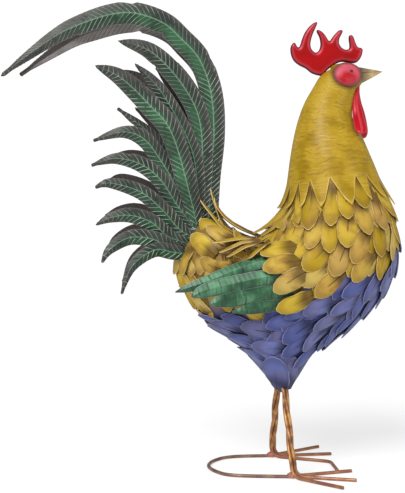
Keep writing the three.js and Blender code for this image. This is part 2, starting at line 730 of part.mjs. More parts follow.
// Legs, cut level just under the wedge
const above = block(
  new THREE.Vector3(0, -90, WEDGE_BOTTOM - GAP),
  new THREE.Vector3(200, 90, WEDGE_BOTTOM + 4 * ROD),
);
for (const { name, points } of legRuns) addPiece(name, cut(rod(points), above), 'copper');
addPiece('base_loop', baseLoop(), 'copper');

export default rooster;
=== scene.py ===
"""Scrap metal rooster: painted sheet feathers over a formed body, on legs of twisted rod."""
import logging
import math
import random
from dataclasses import dataclass, field
from enum import Enum
from functools import partial, reduce
from typing import Callable, Optional, Sequence, Union

import bmesh
import bpy
import numpy as np
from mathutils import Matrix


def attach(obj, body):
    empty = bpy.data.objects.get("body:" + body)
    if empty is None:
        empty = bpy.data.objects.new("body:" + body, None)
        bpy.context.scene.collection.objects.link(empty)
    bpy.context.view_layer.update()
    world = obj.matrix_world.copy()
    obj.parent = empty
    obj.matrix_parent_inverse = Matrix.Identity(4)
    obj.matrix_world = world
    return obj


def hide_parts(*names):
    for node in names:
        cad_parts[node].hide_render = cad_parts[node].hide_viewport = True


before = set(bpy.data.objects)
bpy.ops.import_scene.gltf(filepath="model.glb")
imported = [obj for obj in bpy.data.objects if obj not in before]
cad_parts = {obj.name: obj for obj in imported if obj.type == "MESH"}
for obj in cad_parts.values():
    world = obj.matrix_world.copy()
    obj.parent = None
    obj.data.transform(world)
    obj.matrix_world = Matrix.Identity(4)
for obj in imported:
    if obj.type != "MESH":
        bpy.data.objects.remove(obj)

LOG = logging.getLogger("rooster")
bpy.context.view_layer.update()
MM = 0.001
MERGE_REACH = 0.02
TURN = 2.0 * math.pi
LAMP_SHARE = 0.76
DISPLAY_GAMMA = 2.2
Array = np.ndarray
Pair = tuple[Array, Array]
Colour = tuple[float, float, float, float]
Triple = tuple[float, float, float]
Span = tuple[float, float]
Row = tuple[float, ...]
Line = tuple[Span, ...]
Table = tuple[Row, ...]
Piece = bpy.types.Object
Finish = bpy.types.Material
Wire = bpy.types.NodeSocket
Socket = Union[Wire, float, Colour]
Key = Union[int, str]
SidePlace = Callable[[Array, Array], Pair]


class Slot(Enum):
    """The record's material slots."""

    GOLD_PAINT = "gold_paint"
    GOLD_FEATHERS = "gold_feathers"
    BLUE_FEATHERS = "blue_feathers"
    RED_ENAMEL = "red_enamel"
    HORN = "horn"
    WING_GREEN = "wing_green"
    TAIL_GREEN = "tail_green"
    COPPER_ROD = "copper_rod"


class Side(Enum):
    """A side of the bird, with its sign along Y."""

    RIGHT = -1.0
    LEFT = 1.0

    @property
    def word(self) -> str:
        """The side's word in the names of pieces."""
        return self.name.lower()


def smoothstep(low: float, high: float, value: Array) -> Array:
    """Ease values from 0 at low to 1 at high."""
    share = np.clip((np.asarray(value, float) - low) / (high - low), 0.0, 1.0)
    return share * share * (3.0 - 2.0 * share)


def unit(vectors: Array) -> Array:
    """Give vectors the length one."""
    return vectors / np.maximum(np.linalg.norm(vectors, axis=-1, keepdims=True), 1e-9)


def walked(points: Array) -> Array:
    """Distances along a row of points from the first of them."""
    return np.concatenate([[0.0], np.cumsum(np.linalg.norm(np.diff(points, axis=0), axis=1))])


def spline(points: Sequence[Sequence[float]], share: Array) -> Array:
    """Follow a uniform Catmull-Rom curve through points.

    Args:
        points: The points that the curve passes.
        share: Places on the curve, 0 at the first point and 1 at the last.

    Returns:
        One point of the curve for each place.
    """
    knots = np.asarray(points, float)
    last = len(knots) - 1
    along = np.clip(np.asarray(share, float), 0.0, 1.0) * last
    index = np.minimum(along.astype(int), last - 1)
    rest = (along - index)[..., None]
    before, start = knots[np.maximum(index - 1, 0)], knots[index]
    end, after = knots[index + 1], knots[np.minimum(index + 2, last)]
    leave, arrive = (end - before) / 2.0, (after - start) / 2.0
    cubic = 2.0 * start - 2.0 * end + leave + arrive
    square = -3.0 * start + 3.0 * end - 2.0 * leave - arrive
    return ((cubic * rest + square) * rest + leave) * rest + start


def spread(stops: Sequence[float], share: Array) -> Array:
    """Read a row of numbers at places, 0 at the first number and 1 at the last."""
    return np.interp(share, np.linspace(0.0, 1.0, len(stops)), stops)


def interpolate(points: Array, share: Array) -> Array:
    """Read a row of points at places, 0 at the first point and 1 at the last."""
    return np.stack([spread(points[:, k], share) for k in range(points.shape[1])], axis=-1)


def bend(start: Array, corner: Array, end: Array, steps: int) -> list[Array]:
    """Points of a bend that rounds a corner, with both ends."""
    shares = np.linspace(0.0, 1.0, steps)
    return [start * (1.0 - s) ** 2 + corner * 2.0 * s * (1.0 - s) + end * s * s for s in shares]


def row_name(row: int) -> str:
    """Name of the solid of a row of feathers."""
    return f"feather_row_{row:02d}"


@dataclass(frozen=True)
class Oval:
    """An oval in the side view, in millimetres."""

    centre: Span
    radii: Span

    def away(self, points: Array) -> Array:
        """Distances of points from the oval's middle, 1 on the oval."""
        return np.hypot((points[:, 0] - self.centre[0]) / self.radii[0],
                        (points[:, 2] - self.centre[1]) / self.radii[1])


FACE = Oval((164.5, 449.0), (15.8, 13.4))
# Deep red lower middle of the face, from which its painted highlight grows.
DEEP_RED_CORE = Oval((163.4, 444.4), (11.0, 7.0))
EYE = Oval((168.6, 452.4), (2.0, 2.0))
PUPIL = Oval((168.6, 452.4), (2.1, 1.9))


@dataclass(frozen=True)
class Skin:
    """The formed body and neck as one surface, crown to rump, in millimetres.

    Each section is a line from the back to the front, with a half width and a pear share.
    """

    sections: Table = (
        (148, 457, 183, 452, 15, 0), (137, 450, 182, 442, 18, 0), (128, 436, 175, 432, 19, 0),
        (118, 418, 171, 413, 22, 0), (111, 399, 172, 398, 27, 0), (106, 379, 182, 380, 34, 0),
        (102, 356, 191, 359, 42, 0), (98, 326, 201, 335, 48, 0.05), (93, 296, 217, 290, 60, 0.1),
        (79, 275, 222, 244, 70, 0.15), (68, 263, 207, 203, 76, 0.2), (57, 258, 173, 166, 77, 0.3),
        (47, 261, 129, 133, 74, 0.45), (37, 267, 93, 91, 68, 0.5), (28, 274, 50, 138, 58, 0.4),
        (19, 282, 5, 172, 45, 0.2), (9, 286, -18, 210, 30, 0), (-3, 280, -27, 240, 16, 0),
    )
    crown: Triple = (164, 0, 462.5)
    collar: float = 7.0
    leg_section: float = 13.0
    bluntness: float = 0.4
    step: float = 0.02
    walk: int = 341
    halvings: int = 40

    @property
    def last(self) -> float:
        """Number of the last section."""
        return float(len(self.sections) - 1)

    def point(self, section: Array, angle: Array) -> Array:
        """Points on the skin.

        Args:
            section: Section numbers, whole or between.
            angle: Angles round the section, 0 at the back and a quarter turn at the right side.

        Returns:
            One point for each pair.
        """
        section, angle = np.broadcast_arrays(np.asarray(section, float), np.asarray(angle, float))
        line = spline(self.sections, section / self.last)
        front = (1.0 - np.cos(angle)) / 2.0
        blunt = 1.0 - self.bluntness * np.exp(-((section - self.leg_section) ** 2))
        side = np.sin(angle)
        wide = line[..., 4] * np.sign(side) * np.abs(side) ** blunt * (1.0 - line[..., 5] * front**2)
        x = line[..., 0] + (line[..., 2] - line[..., 0]) * front
        z = line[..., 1] + (line[..., 3] - line[..., 1]) * front
        return np.stack([x, -wide, z], axis=-1)

    def normal(self, section: Array, angle: Array) -> Array:
        """Outward directions on the skin.

        Args:
            section: Section numbers, whole or between.
            angle: Angles round the section.

        Returns:
            One direction for each pair.
        """
        section = np.clip(np.asarray(section, float), self.step, self.last - self.step)
        down = self.point(section + self.step, angle) - self.point(section - self.step, angle)
        turn = np.asarray(angle, float)
        aside = self.point(section, turn + self.step) - self.point(section, turn - self.step)
        return unit(np.cross(down, aside))

    def line(self, angle: float) -> Pair:
        """Walk down one line of the skin.

        Args:
            angle: The angle of the line.

        Returns:
            Section numbers down the line, and their distances below the collar.
        """
        marks = np.linspace(0.0, self.last, self.walk)
        run = walked(self.point(marks, np.full_like(marks, angle)))
        return marks, run - np.interp(self.collar, marks, run)

    def section_at(self, distance: Array, angle: float) -> Array:
        """Section numbers at distances below the collar along one line of the skin."""
        marks, run = self.line(angle)
        return np.interp(distance, run, marks)

    def miss(self, section: float, x: float, z: float) -> float:
        """How far a point of the side view lies off the line of a section, with its sign."""
        line = spline(self.sections, np.array(section / self.last))
        return float((line[2] - line[0]) * (z - line[1]) - (line[3] - line[1]) * (x - line[0]))

    def flank_place(self, x: float, z: float) -> Span:
        """Find the place on the right flank that lies behind a point of the side view.

        Args:
            x: Forward place in millimetres.
            z: Height in millimetres.

        Returns:
            Section number and angle.
        """
        low, high = self.collar, self.last
        rising = self.miss(high, x, z) > self.miss(low, x, z)
        for _ in range(self.halvings):
            middle = (low + high) / 2.0
            if (self.miss(middle, x, z) > 0.0) == rising:
                high = middle
            else:
                low = middle
        line = spline(self.sections, np.array(low / self.last))
        reach = (line[2] - line[0]) ** 2 + (line[3] - line[1]) ** 2
        front = ((x - line[0]) * (line[2] - line[0]) + (z - line[1]) * (line[3] - line[1])) / reach
        return low, math.acos(1.0 - 2.0 * min(1.0, max(0.0, front)))

    def flank(self, places: Sequence[Sequence[float]]) -> Pair:
        """Points of the right flank behind places of the side view, and their outward directions."""
        found = np.array([self.flank_place(x, z) for x, z in places])
        return self.point(found[:, 0], found[:, 1]), self.normal(found[:, 0], found[:, 1])


SKIN = Skin()


def clear_selection() -> None:
    """Leave nothing selected."""
    bpy.ops.object.select_all(action="DESELECT")


def activate(piece: Piece) -> None:
    """Select one piece alone and make it the active one.

    Args:
        piece: The piece.
    """
    clear_selection()
    piece.select_set(True)
    bpy.context.view_layer.objects.active = piece


def take_new(name: str) -> Piece:
    """Name the active piece, which an operator has just made."""
    bpy.context.active_object.name = bpy.context.active_object.data.name = name
    return bpy.context.active_object


def add_grid(name: str, across: int, along: int) -> Piece:
    """Add a flat grid, the blank of a sheet.

    Args:
        name: Name of the piece.
        across: Number of faces across.
        along: Number of faces along.

    Returns:
        The new piece, two metres square.
    """
    clear_selection()
    bpy.ops.mesh.primitive_grid_add(x_subdivisions=across, y_subdivisions=along, size=2.0)
    return take_new(name)


def add_object(name: str, data: bpy.types.ID) -> Piece:
    """Put a mesh, a lamp or a camera into the scene.

    Args:
        name: Its name.
        data: The mesh, lamp or camera.

    Returns:
        The object that holds it.
    """
    data.name = name
    holder = bpy.data.objects.new(name, data)
    bpy.context.collection.objects.link(holder)
    return holder


def coordinates(piece: Piece) -> Array:
    """Read the vertex places of a piece.

    Args:
        piece: The piece.

    Returns:
        One place in metres for each vertex.
    """
    places = np.empty(3 * len(piece.data.vertices))
    piece.data.vertices.foreach_get("co", places)
    return places.reshape(-1, 3)


def grid_shares(piece: Piece) -> Pair:
    """Shares across and along of each vertex of a grid that is still flat."""
    places = coordinates(piece)
    return (places[:, 0] + 1.0) / 2.0, (places[:, 1] + 1.0) / 2.0


def place_vertices(piece: Piece, points: Array) -> None:
    """Move the vertices of a piece to points in millimetres."""
    piece.data.vertices.foreach_set("co", (np.asarray(points, float) * MM).ravel())
    piece.data.update()


def write_uv(piece: Piece, across: Array, along: Array) -> None:
    """Write the pattern coordinates of a piece.

    Args:
        piece: The piece.
        across: One number across for each vertex.
        along: One number along for each vertex.
    """
    corners = np.empty(len(piece.data.loops), int)
    piece.data.loops.foreach_get("vertex_index", corners)
    pairs = np.stack([across, along], axis=-1)
    piece.data.uv_layers.active.data.foreach_set("uv", pairs[corners].ravel())


def write_attribute(piece: Piece, name: str, values: Array) -> None:
    """Keep one number for each vertex of a piece under a name."""
    kept = piece.data.attributes.get(name) or piece.data.attributes.new(name, "FLOAT", "POINT")
    kept.data.foreach_set("value", np.asarray(values, float))


def mark(piece: Piece, name: str, value: float) -> None:
    """Keep the same number for every vertex of a piece under a name."""
    write_attribute(piece, name, np.full(len(piece.data.vertices), value))


def apply_modifier(piece: Piece, kind: str, **settings: object) -> None:
    """Add a modifier to a piece, set it and apply it.

    Args:
        piece: The piece.
        kind: Kind of modifier.
        settings: Values of the modifier by name.
    """
    activate(piece)
    modifier = piece.modifiers.new(kind.title(), kind)
    for name, value in settings.items():
        setattr(modifier, name, value)
    bpy.ops.object.modifier_apply(modifier=modifier.name)


def thicken(piece: Piece, thickness: float) -> None:
    """Give a sheet its thickness in millimetres, behind its face."""
    apply_modifier(piece, "SOLIDIFY", thickness=thickness * MM, offset=-1.0, use_even_offset=False)


def edit_all(piece: Piece, operator: Callable[..., object], **settings: object) -> None:
    """Run an operator of edit mode on the whole of a piece.

    Args:
        piece: The piece.
        operator: The operator.
        settings: Values of the operator by name.
    """
    activate(piece)
    bpy.ops.object.mode_set(mode="EDIT")
    bpy.ops.mesh.select_all(action="SELECT")
    operator(**settings)
    bpy.ops.object.mode_set(mode="OBJECT")


def merge_doubles(piece: Piece) -> None:
    """Merge the vertices of a piece that lie in one place."""
    edit_all(piece, bpy.ops.mesh.remove_doubles, threshold=MERGE_REACH * MM)


def face_outwards(piece: Piece) -> None:
    """Turn the faces of a closed piece outwards."""
    edit_all(piece, bpy.ops.mesh.normals_make_consistent, inside=False)


def close_holes(piece: Piece) -> None:
    """Fill the open ends of a piece."""
    edit_all(piece, bpy.ops.mesh.fill_holes, sides=0)


def shade(piece: Piece, degrees: float) -> None:
    """Shade a piece smooth, with edges sharper than an angle left sharp."""
    activate(piece)
    bpy.ops.object.shade_smooth_by_angle(angle=math.radians(degrees))


def seal(piece: Piece, degrees: float = 40.0) -> None:
    """Close a rolled grid, turn its faces outwards and shade it.

    Args:
        piece: The piece.
        degrees: Edges sharper than this angle are left sharp.
    """
    merge_doubles(piece)
    close_holes(piece)
    face_outwards(piece)
    shade(piece, degrees)


def copy_piece(piece: Piece, name: str) -> Piece:
    """Copy a piece with a mesh of its own."""
    return add_object(name, piece.data.copy())


def mirror_piece(piece: Piece, name: str) -> Piece:
    """Copy a piece of the right side to the left side.

    Args:
        piece: The piece.
        name: Name of the copy.

    Returns:
        The copy.
    """
    twin = copy_piece(piece, name)
    places = coordinates(twin)
    places[:, 1] *= -1.0
    place_vertices(twin, places / MM)
    twin.data.flip_normals()
    return twin


def join_pieces(pieces: Sequence[Piece], name: str) -> Piece:
    """Join pieces into one.

    Args:
        pieces: The pieces, at least one.
        name: Name of the joined piece.

    Returns:
        The joined piece.
    """
    activate(pieces[0])
    for piece in pieces:
        piece.select_set(True)
    if len(pieces) > 1:
        bpy.ops.object.join()
    return take_new(name)


def publish(piece: Piece, slot: Slot, finish: Finish, *nodes: str) -> None:
    """Paint a finished piece, seat it on the body and report it.

    Args:
        piece: The piece.
        slot: The record's slot for its finish; not used.
        finish: Its material.
        nodes: Solids that it stands for.
    """
    piece.data.materials.clear()
    piece.data.materials.append(finish)
    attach(piece, "root")
    if nodes:
        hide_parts(*nodes)
    LOG.info("%s: %d faces", piece.name, len(piece.data.polygons))


def paint(red: int, green: int, blue: int) -> Colour:
    """Turn a display colour from 0 to 255, as seen under the studio's lamps, into a paint."""
    light = [(value / 255.0) ** DISPLAY_GAMMA * LAMP_SHARE for value in (red, green, blue)]
    return light[0], light[1], light[2], 1.0


class Shader:
    """A material under construction, one shader with its pattern nodes."""

    def __init__(self, name: str) -> None:
        """Start a material with an empty surface shader.

        Args:
            name: Name of the material.
        """
        self.material = bpy.data.materials.new(name)
        self.material.use_nodes = True
        self.tree = self.material.node_tree
        self.tree.nodes.clear()
        self.surface = self.tree.nodes.new("ShaderNodeBsdfPrincipled")
        output = self.tree.nodes.new("ShaderNodeOutputMaterial")
        self.tree.links.new(self.surface.outputs["BSDF"], output.inputs["Surface"])

    def feed(self, node: bpy.types.Node, inputs: dict[Key, Socket]) -> None:
        """Link inputs of a node to other sockets or set them.

        Args:
            node: The node.
            inputs: Sockets, numbers or colours by the names or numbers of the inputs.
        """
        for key, value in inputs.items():
            if isinstance(value, bpy.types.NodeSocket):
                self.tree.links.new(value, node.inputs[key])
            else:
                node.inputs[key].default_value = value

    def add(self, kind: str, inputs: dict[Key, Socket], output: Key = 0, **settings: str) -> Wire:
        """Add a node.

        Args:
            kind: Kind of node.
            inputs: What its inputs are fed with.
            output: Name or number of an output.
            settings: Choices of the node by name.

        Returns:
            The output.
        """
        node = self.tree.nodes.new(f"ShaderNode{kind}")
        for name, value in settings.items():
            setattr(node, name, value)
        self.feed(node, inputs)
        return node.outputs[output]

    def set(self, **inputs: Socket) -> None:
        """Feed inputs of the surface, their names with underscores."""
        self.feed(self.surface, {name.replace("_", " "): value for name, value in inputs.items()})

    def math(self, operation: str, first: Socket, second: Socket = 0.0) -> Wire:
        """Combine two numbers."""
        return self.add("Math", {0: first, 1: second}, operation=operation)

    def times(self, *numbers: Socket) -> Wire:
        """Multiply numbers."""
        return reduce(partial(self.math, "MULTIPLY"), numbers)

    def apart(self, first: Socket, second: Socket) -> Wire:
        """How far two numbers lie apart."""
        return self.math("ABSOLUTE", self.math("SUBTRACT", first, second))

    def ease(self, value: Socket, low: float, high: float, start: float = 0.0, end: float = 1.0) -> Wire:
        """Map a number smoothly from one range to another."""
        inputs = {"Value": value, "From Min": low, "From Max": high, "To Min": start, "To Max": end}
        return self.add("MapRange", inputs, "Result", interpolation_type="SMOOTHSTEP")

    def mix(self, share: Socket, first: Socket, second: Socket) -> Wire:
        """Mix two colours, by the share of the second."""
        return self.add("Mix", {0: share, 6: first, 7: second}, 2, data_type="RGBA")

    def coats(self, colour: Socket, *layers: tuple[Socket, Socket]) -> Wire:
        """Lay coats over a colour, one after another, each by its share and its own colour."""
        return reduce(lambda below, layer: self.mix(layer[0], below, layer[1]), layers, colour)

    def ramp(self, share: Socket, colours: Sequence[Colour]) -> Wire:
        """Run evenly through colours.

        Args:
            share: Place on the run, from 0 to 1.
            colours: The colours.

        Returns:
            The colour at the place.
        """
        run = self.add("ValToRGB", {0: share})
        stops = run.node.color_ramp.elements
        while len(stops) < len(colours):
            stops.new(0.5)
        for index, colour in enumerate(colours):
            stops[index].position = index / (len(colours) - 1)
            stops[index].color = colour
        return run

    def places(self) -> Wire:
        """Object coordinates in metres."""
        return self.add("TexCoord", {}, "Object")

    def pattern(self) -> tuple[Wire, ...]:
        """Pattern coordinates, across and along."""
        return self.split(self.add("TexCoord", {}, "UV"))[:2]

    def split(self, vector: Wire) -> tuple[Wire, ...]:
        """Take a vector apart."""
        return tuple(self.add("SeparateXYZ", {0: vector}).node.outputs)

    def join(self, x: Socket, y: Socket, z: Socket = 0.0) -> Wire:
        """Put a vector together."""
        return self.add("CombineXYZ", {0: x, 1: y, 2: z})

    def stretched(self, across: Socket, wide: float, along: Socket, long: float) -> Wire:
        """Pattern coordinates counted in steps of a width and a length."""
        return self.join(self.math("DIVIDE", across, wide), self.math("DIVIDE", along, long))

    def oval(self, places: Wire, oval: Oval) -> Wire:
        """Measure from an oval of the side view.

        Args:
            places: Object coordinates.
            oval: The oval.

        Returns:
            Distance from its middle, 1 on the oval.
        """
        x, _, z = self.split(places)
        aside, above = (self.math("DIVIDE", self.math("SUBTRACT", part, middle * MM), radius * MM)
                        for part, middle, radius in zip((x, z), oval.centre, oval.radii))
        return self.math("SQRT", self.math("ADD", self.times(aside, aside), self.times(above, above)))

    def attribute(self, name: str) -> Wire:
        """Read a number kept on the mesh."""
        return self.add("Attribute", {}, "Fac", attribute_name=name)

    def sideways(self) -> Wire:
        """The part of the surface's direction that points to the bird's left."""
        return self.split(self.add("NewGeometry", {}, "Normal"))[1]

    def noise(self, vector: Socket, scale: float, detail: float = 3.0) -> Wire:
        """Cloudy noise on a vector."""
        return self.add("TexNoise", {"Vector": vector, "Scale": scale, "Detail": detail})

    def dent(self, height: Socket, depth: float, strength: float) -> None:
        """Roughen the surface by a height from 0 to 1, its depth in millimetres."""
        inputs = {"Strength": strength, "Distance": depth * MM, "Height": height}
        self.set(Normal=self.add("Bump", inputs))

    def cover(self, colour: Socket, metallic: float, roughness: Socket, gloss: float = 0.5) -> Finish:
        """Set the surface and hand over the material."""
        self.set(Base_Color=colour, Metallic=metallic, Roughness=roughness, Specular_IOR_Level=gloss)
        return self.material


@dataclass(frozen=True)
class FeatherPaint:
    """Paint of small sheet feathers: mottled, a worn rim that is also a painted highlight, painted shade on
    the edge and covered root, a dark stamped quill.
    """

    name: str
    shades: tuple[Colour, ...]
    mottle: Colour
    rim: Colour
    # dark colour of the painted shade at edge and root, and also of the stamped quill
    dirt: Colour
    worn_lit_rim_share: float = 0.8
    edge_shade_share: float = 0.3
    metallic: float = 0.06
    roughness: Span = (0.44, 0.64)
    gloss: float = 0.22

    def material(self) -> Finish:
        """Make the material.

        Returns:
            The material.
        """
        shader = Shader(self.name)
        across, along = shader.pattern()
        tone, places = shader.attribute("tone"), shader.places()
        cloud = shader.noise(places, 70.0, 4.0)
        streak = shader.noise(shader.join(shader.times(across, 9.0), along, shader.times(tone, 40.0)), 2.2)
        middle = shader.apart(across, 0.5)
        side = shader.times(middle, 2.0)
        border = shader.math("MAXIMUM", side, along)
        # worn paint and painted highlight: a thin pale rim along the feather's sides and tip
        worn = shader.math("MAXIMUM", shader.ease(side, 0.95, 0.98), shader.ease(along, 0.982, 0.994))
        quill = shader.times(shader.ease(middle, 0.045, 0.015), shader.ease(along, 0.66, 0.56))
        few = shader.ease(shader.math("FRACT", shader.times(tone, 7.3)), 0.62, 0.7, 0.1, 0.7)
        colour = shader.coats(
            shader.ramp(tone, self.shades),
            (shader.ease(cloud, 0.48, 0.7, 0.0, 0.75), self.mottle),
            (shader.ease(streak, 0.55, 0.8, 0.0, 0.25), self.rim),
            # painted shade: darker along each feather's edge, in place of the shadow line between
            # overlapping feathers
            (shader.ease(border, 0.7, 0.92, 0.0, self.edge_shade_share), self.dirt),
            (shader.times(worn, self.worn_lit_rim_share), self.rim),
            # painted shade: darker over the root, which the feather above covers
            (shader.ease(along, 0.58, 0.24, 0.0, 0.8), self.dirt),
            (shader.times(quill, few), self.dirt),
        )
        shader.dent(shader.noise(places, 420.0, 2.0), 0.25, 0.35)
        roughness = shader.ease(cloud, 0.3, 0.7, *self.roughness)
        return shader.cover(colour, self.metallic, roughness, self.gloss)


@dataclass(frozen=True)
class NeckPaint:
    """Gold paint with rows of short brown strokes, a red face with a pink painted highlight on its raised
    oval, and a dark soft border round it.
    """

    name: str = "neck gold with brown strokes"
    gold: tuple[Colour, ...] = (paint(158, 126, 18), paint(178, 144, 28), paint(190, 156, 40))
    pale: Colour = paint(212, 180, 92)
    stroke: Colour = paint(116, 76, 38)
    face: Colour = paint(184, 4, 24)
    face_highlight: Colour = paint(208, 92, 108)
    border: Colour = paint(70, 52, 40)
    metallic: float = 0.06
    roughness: Span = (0.38, 0.56)
    gloss: float = 0.22
    stroke_pitch: float = 5.0
    stroke_wander: float = 3.2
    stroke_share: float = 0.45
    strokes_end: Span = (225.0, 190.0)

    def strokes(self, shader: Shader, across: Wire, along: Wire) -> Wire:
        """Draw rows of short wandering strokes that fade out above the lower edge.

        Args:
            shader: The material under construction.
            across: Pattern coordinate across, in millimetres.
            along: Pattern coordinate along, in millimetres.

        Returns:
            Share of the stroke colour.
        """
        wander = shader.noise(shader.stretched(across, 20.0, along, 40.0), 1.0, 2.0)
        steps = shader.math("DIVIDE", along, self.stroke_pitch)
        wave = shader.math("ADD", steps, shader.times(wander, self.stroke_wander))
        row = shader.apart(shader.math("FRACT", wave), 0.5)
        dashes = shader.noise(shader.stretched(across, 11.0, along, 4.0), 1.0)
        return shader.times(shader.ease(row, 0.22, 0.02), shader.ease(dashes, 0.42, 0.62),
                            shader.ease(along, *self.strokes_end), self.stroke_share)

    def material(self) -> Finish:
        """Make the material.

        Returns:
            The material.
        """
        shader = Shader(self.name)
        across, along = shader.pattern()
        places = shader.places()
        cloud = shader.noise(places, 45.0, 4.0)
        streaks = shader.noise(shader.stretched(across, 26.0, along, 3.0), 1.0, 4.0)
        stroke = self.strokes(shader, across, along)
        away = shader.oval(places, FACE)
        # painted highlight: pink over the raised face, growing away from its deep red lower middle, in
        # noise patches
        high = shader.ease(shader.oval(places, DEEP_RED_CORE), 0.55, 1.45, 0.0, 0.85)
        highlight_patch = shader.ease(shader.noise(places, 90.0, 2.0), 0.4, 0.65, 0.0, 0.3)
        red = shader.coats(self.face, (shader.math("ADD", high, highlight_patch), self.face_highlight),
                           (shader.ease(away, 0.72, 1.0, 0.0, 0.55), self.border))
        colour = shader.coats(
            shader.ramp(shader.ease(cloud, 0.3, 0.7), self.gold),
            (shader.ease(streaks, 0.52, 0.72, 0.0, 0.45), self.pale),
            (stroke, self.stroke),
            (shader.ease(away, 1.4, 1.0, 0.0, 0.75), self.border),
            (shader.ease(away, 1.05, 0.97), red),
            (shader.ease(shader.oval(places, PUPIL), 1.25, 0.7, 0.0, 0.92), self.border),
            (shader.ease(shader.attribute("edge"), 0.8, 0.95, 0.0, 0.7), self.pale),
        )
        shader.dent(shader.math("SUBTRACT", shader.noise(places, 300.0, 2.0), stroke), 0.3, 0.35)
        roughness = shader.ease(cloud, 0.3, 0.7, *self.roughness)
        return shader.cover(colour, self.metallic, roughness, self.gloss)


@dataclass(frozen=True)
class RedEnamel:
    """Glossy red with a pink painted highlight along the pillowed bevel and a dark wash along its edge."""

    name: str = "red enamel"
    red: Colour = paint(178, 0, 16)
    deep: Colour = paint(136, 0, 10)
    bloom: Colour = paint(190, 62, 76)
    wash: Colour = paint(60, 14, 18)
    bloom_share: float = 0.65
    metallic: float = 0.1
    roughness: float = 0.34
    gloss: float = 0.22

    def material(self) -> Finish:
        """Make the material.

        Returns:
            The material.
        """
        shader = Shader(self.name)
        places, edge = shader.places(), shader.attribute("edge")
        cloud = shader.noise(places, 60.0)
        # painted highlight and reflection: a pink band along the pillowed bevel, a little in from the edge
        glow = shader.times(shader.ease(edge, 0.3, 0.62), shader.ease(edge, 0.97, 0.78), self.bloom_share)
        colour = shader.coats(
            self.red,
            (shader.ease(cloud, 0.4, 0.68, 0.0, 0.5), self.deep),
            (glow, self.bloom),
            (shader.ease(edge, 0.78, 0.92, 0.0, 0.95), self.wash),
        )
        shader.dent(shader.noise(places, 160.0, 2.0), 0.3, 0.3)
        return shader.cover(colour, self.metallic, self.roughness, self.gloss)


@dataclass(frozen=True)
class TailPaint:
    """Dark green with pale raised veins, a bright middle rib and worn brown edges and tips."""

    name: str = "tail green with pale veins"
    dark: Colour = paint(33, 48, 40)
    green: Colour = paint(58, 112, 74)
    vein: Colour = paint(178, 196, 178)
    rib: Colour = paint(150, 176, 154)
    brown: Colour = paint(80, 75, 74)
    inside: Colour = paint(78, 70, 68)
    most_worn: float = 0.85
    least_fresh: float = 0.25
    metallic: float = 0.35
    roughness: Span = (0.38, 0.55)

    def material(self) -> Finish:
        """Make the material.

        Returns:
            The material.
        """
        shader = Shader(self.name)
        across, along = shader.pattern()
        tone, far, outward = (shader.attribute(name) for name in ("tone", "far", "outward"))
        places = shader.places()
        side = shader.times(shader.apart(across, 0.5), 2.0)
        lower = shader.times(shader.math("SUBTRACT", across, 0.5), outward)
        cloud = shader.noise(places, 40.0, 4.0)
        new = shader.math("ADD", shader.times(tone, 1.0 - self.least_fresh), self.least_fresh)
        fresh = shader.times(shader.ease(lower, -0.3, 0.06), shader.ease(cloud, 0.35, 0.62, 0.3, 1.0),
                             shader.ease(side, 1.05, 0.6), shader.ease(far, 0.9, 0.45, 0.1, 1.0), new)
        worn = shader.math("ADD", shader.ease(side, 0.6, 1.0, 0.0, 0.7), shader.ease(far, 0.62, 0.98))
        worn = shader.math("ADD", worn, shader.ease(lower, 0.02, -0.35, 0.0, 0.5))
        worn = shader.times(worn, shader.ease(cloud, 0.3, 0.65, 0.45, 1.0))
        crest = shader.apart(shader.math("FRACT", shader.math("ADD", along, 0.5)), 0.5)
        broken = shader.ease(shader.noise(places, 130.0, 2.0), 0.3, 0.5)
        faded = shader.ease(shader.noise(places, 28.0, 2.0), 0.38, 0.62, 0.4, 1.0)
        line = shader.times(shader.ease(crest, 0.12, 0.03), broken, shader.ease(side, 1.0, 0.9), faded,
                            shader.ease(far, 0.98, 0.7, 0.45, 0.95))
        rib = shader.times(shader.ease(side, 0.08, 0.02), shader.ease(far, 0.98, 0.7, 0.3, 0.6))
        facing = shader.times(shader.sideways(), outward)
        colour = shader.coats(
            self.dark,
            (fresh, self.green),
            (shader.math("MINIMUM", worn, self.most_worn), self.brown),
            (line, self.vein),
            (rib, self.rib),
            (shader.ease(side, 0.95, 1.0, 0.0, 0.35), self.vein),
            (shader.ease(facing, 0.2, -0.2, 0.0, 0.85), self.inside),
        )
        shader.dent(shader.noise(places, 350.0, 2.0), 0.25, 0.35)
        return shader.cover(colour, self.metallic, shader.ease(cloud, 0.3, 0.7, *self.roughness))


@dataclass(frozen=True)
class WingPaint:
    """Bright green with dark cross scratches, painted shade along the long edges of each blade and a pale
    upper edge.
    """

    name: str = "wing green with scratches"
    shades: tuple[Colour, ...] = (paint(40, 78, 55), paint(56, 108, 72), paint(90, 142, 106))
    scratch: Colour = paint(30, 50, 40)
    worn: Colour = paint(150, 172, 150)
    tip: Colour = paint(92, 88, 84)
    metallic: float = 0.25
    roughness: Span = (0.32, 0.48)

    def material(self) -> Finish:
        """Make the material.

        Returns:
            The material.
        """
        shader = Shader(self.name)
        across, along = shader.pattern()
        cloud = shader.noise(shader.places(), 60.0, 4.0)
        hatch = shader.noise(shader.join(shader.times(along, 1.9), shader.times(across, 0.8)), 1.0)
        side = shader.times(shader.apart(across, 0.5), 2.0)
        colour = shader.coats(
            shader.ramp(shader.ease(cloud, 0.3, 0.7), self.shades),
            (shader.ease(hatch, 0.54, 0.66, 0.0, 0.75), self.scratch),
            (shader.ease(hatch, 0.4, 0.28, 0.0, 0.3), self.worn),
            # painted shade: the long edges darkened, in place of the shade between overlapping blades
            (shader.ease(side, 0.72, 0.94, 0.0, 0.55), self.scratch),
            (shader.ease(side, 0.93, 0.99, 0.0, 0.55), self.worn),
            (shader.ease(shader.attribute("far"), 0.85, 1.0, 0.0, 0.7), self.tip),
        )
        shader.dent(hatch, 0.3, 0.2)
        return shader.cover(colour, self.metallic, shader.ease(cloud, 0.3, 0.7, *self.roughness))


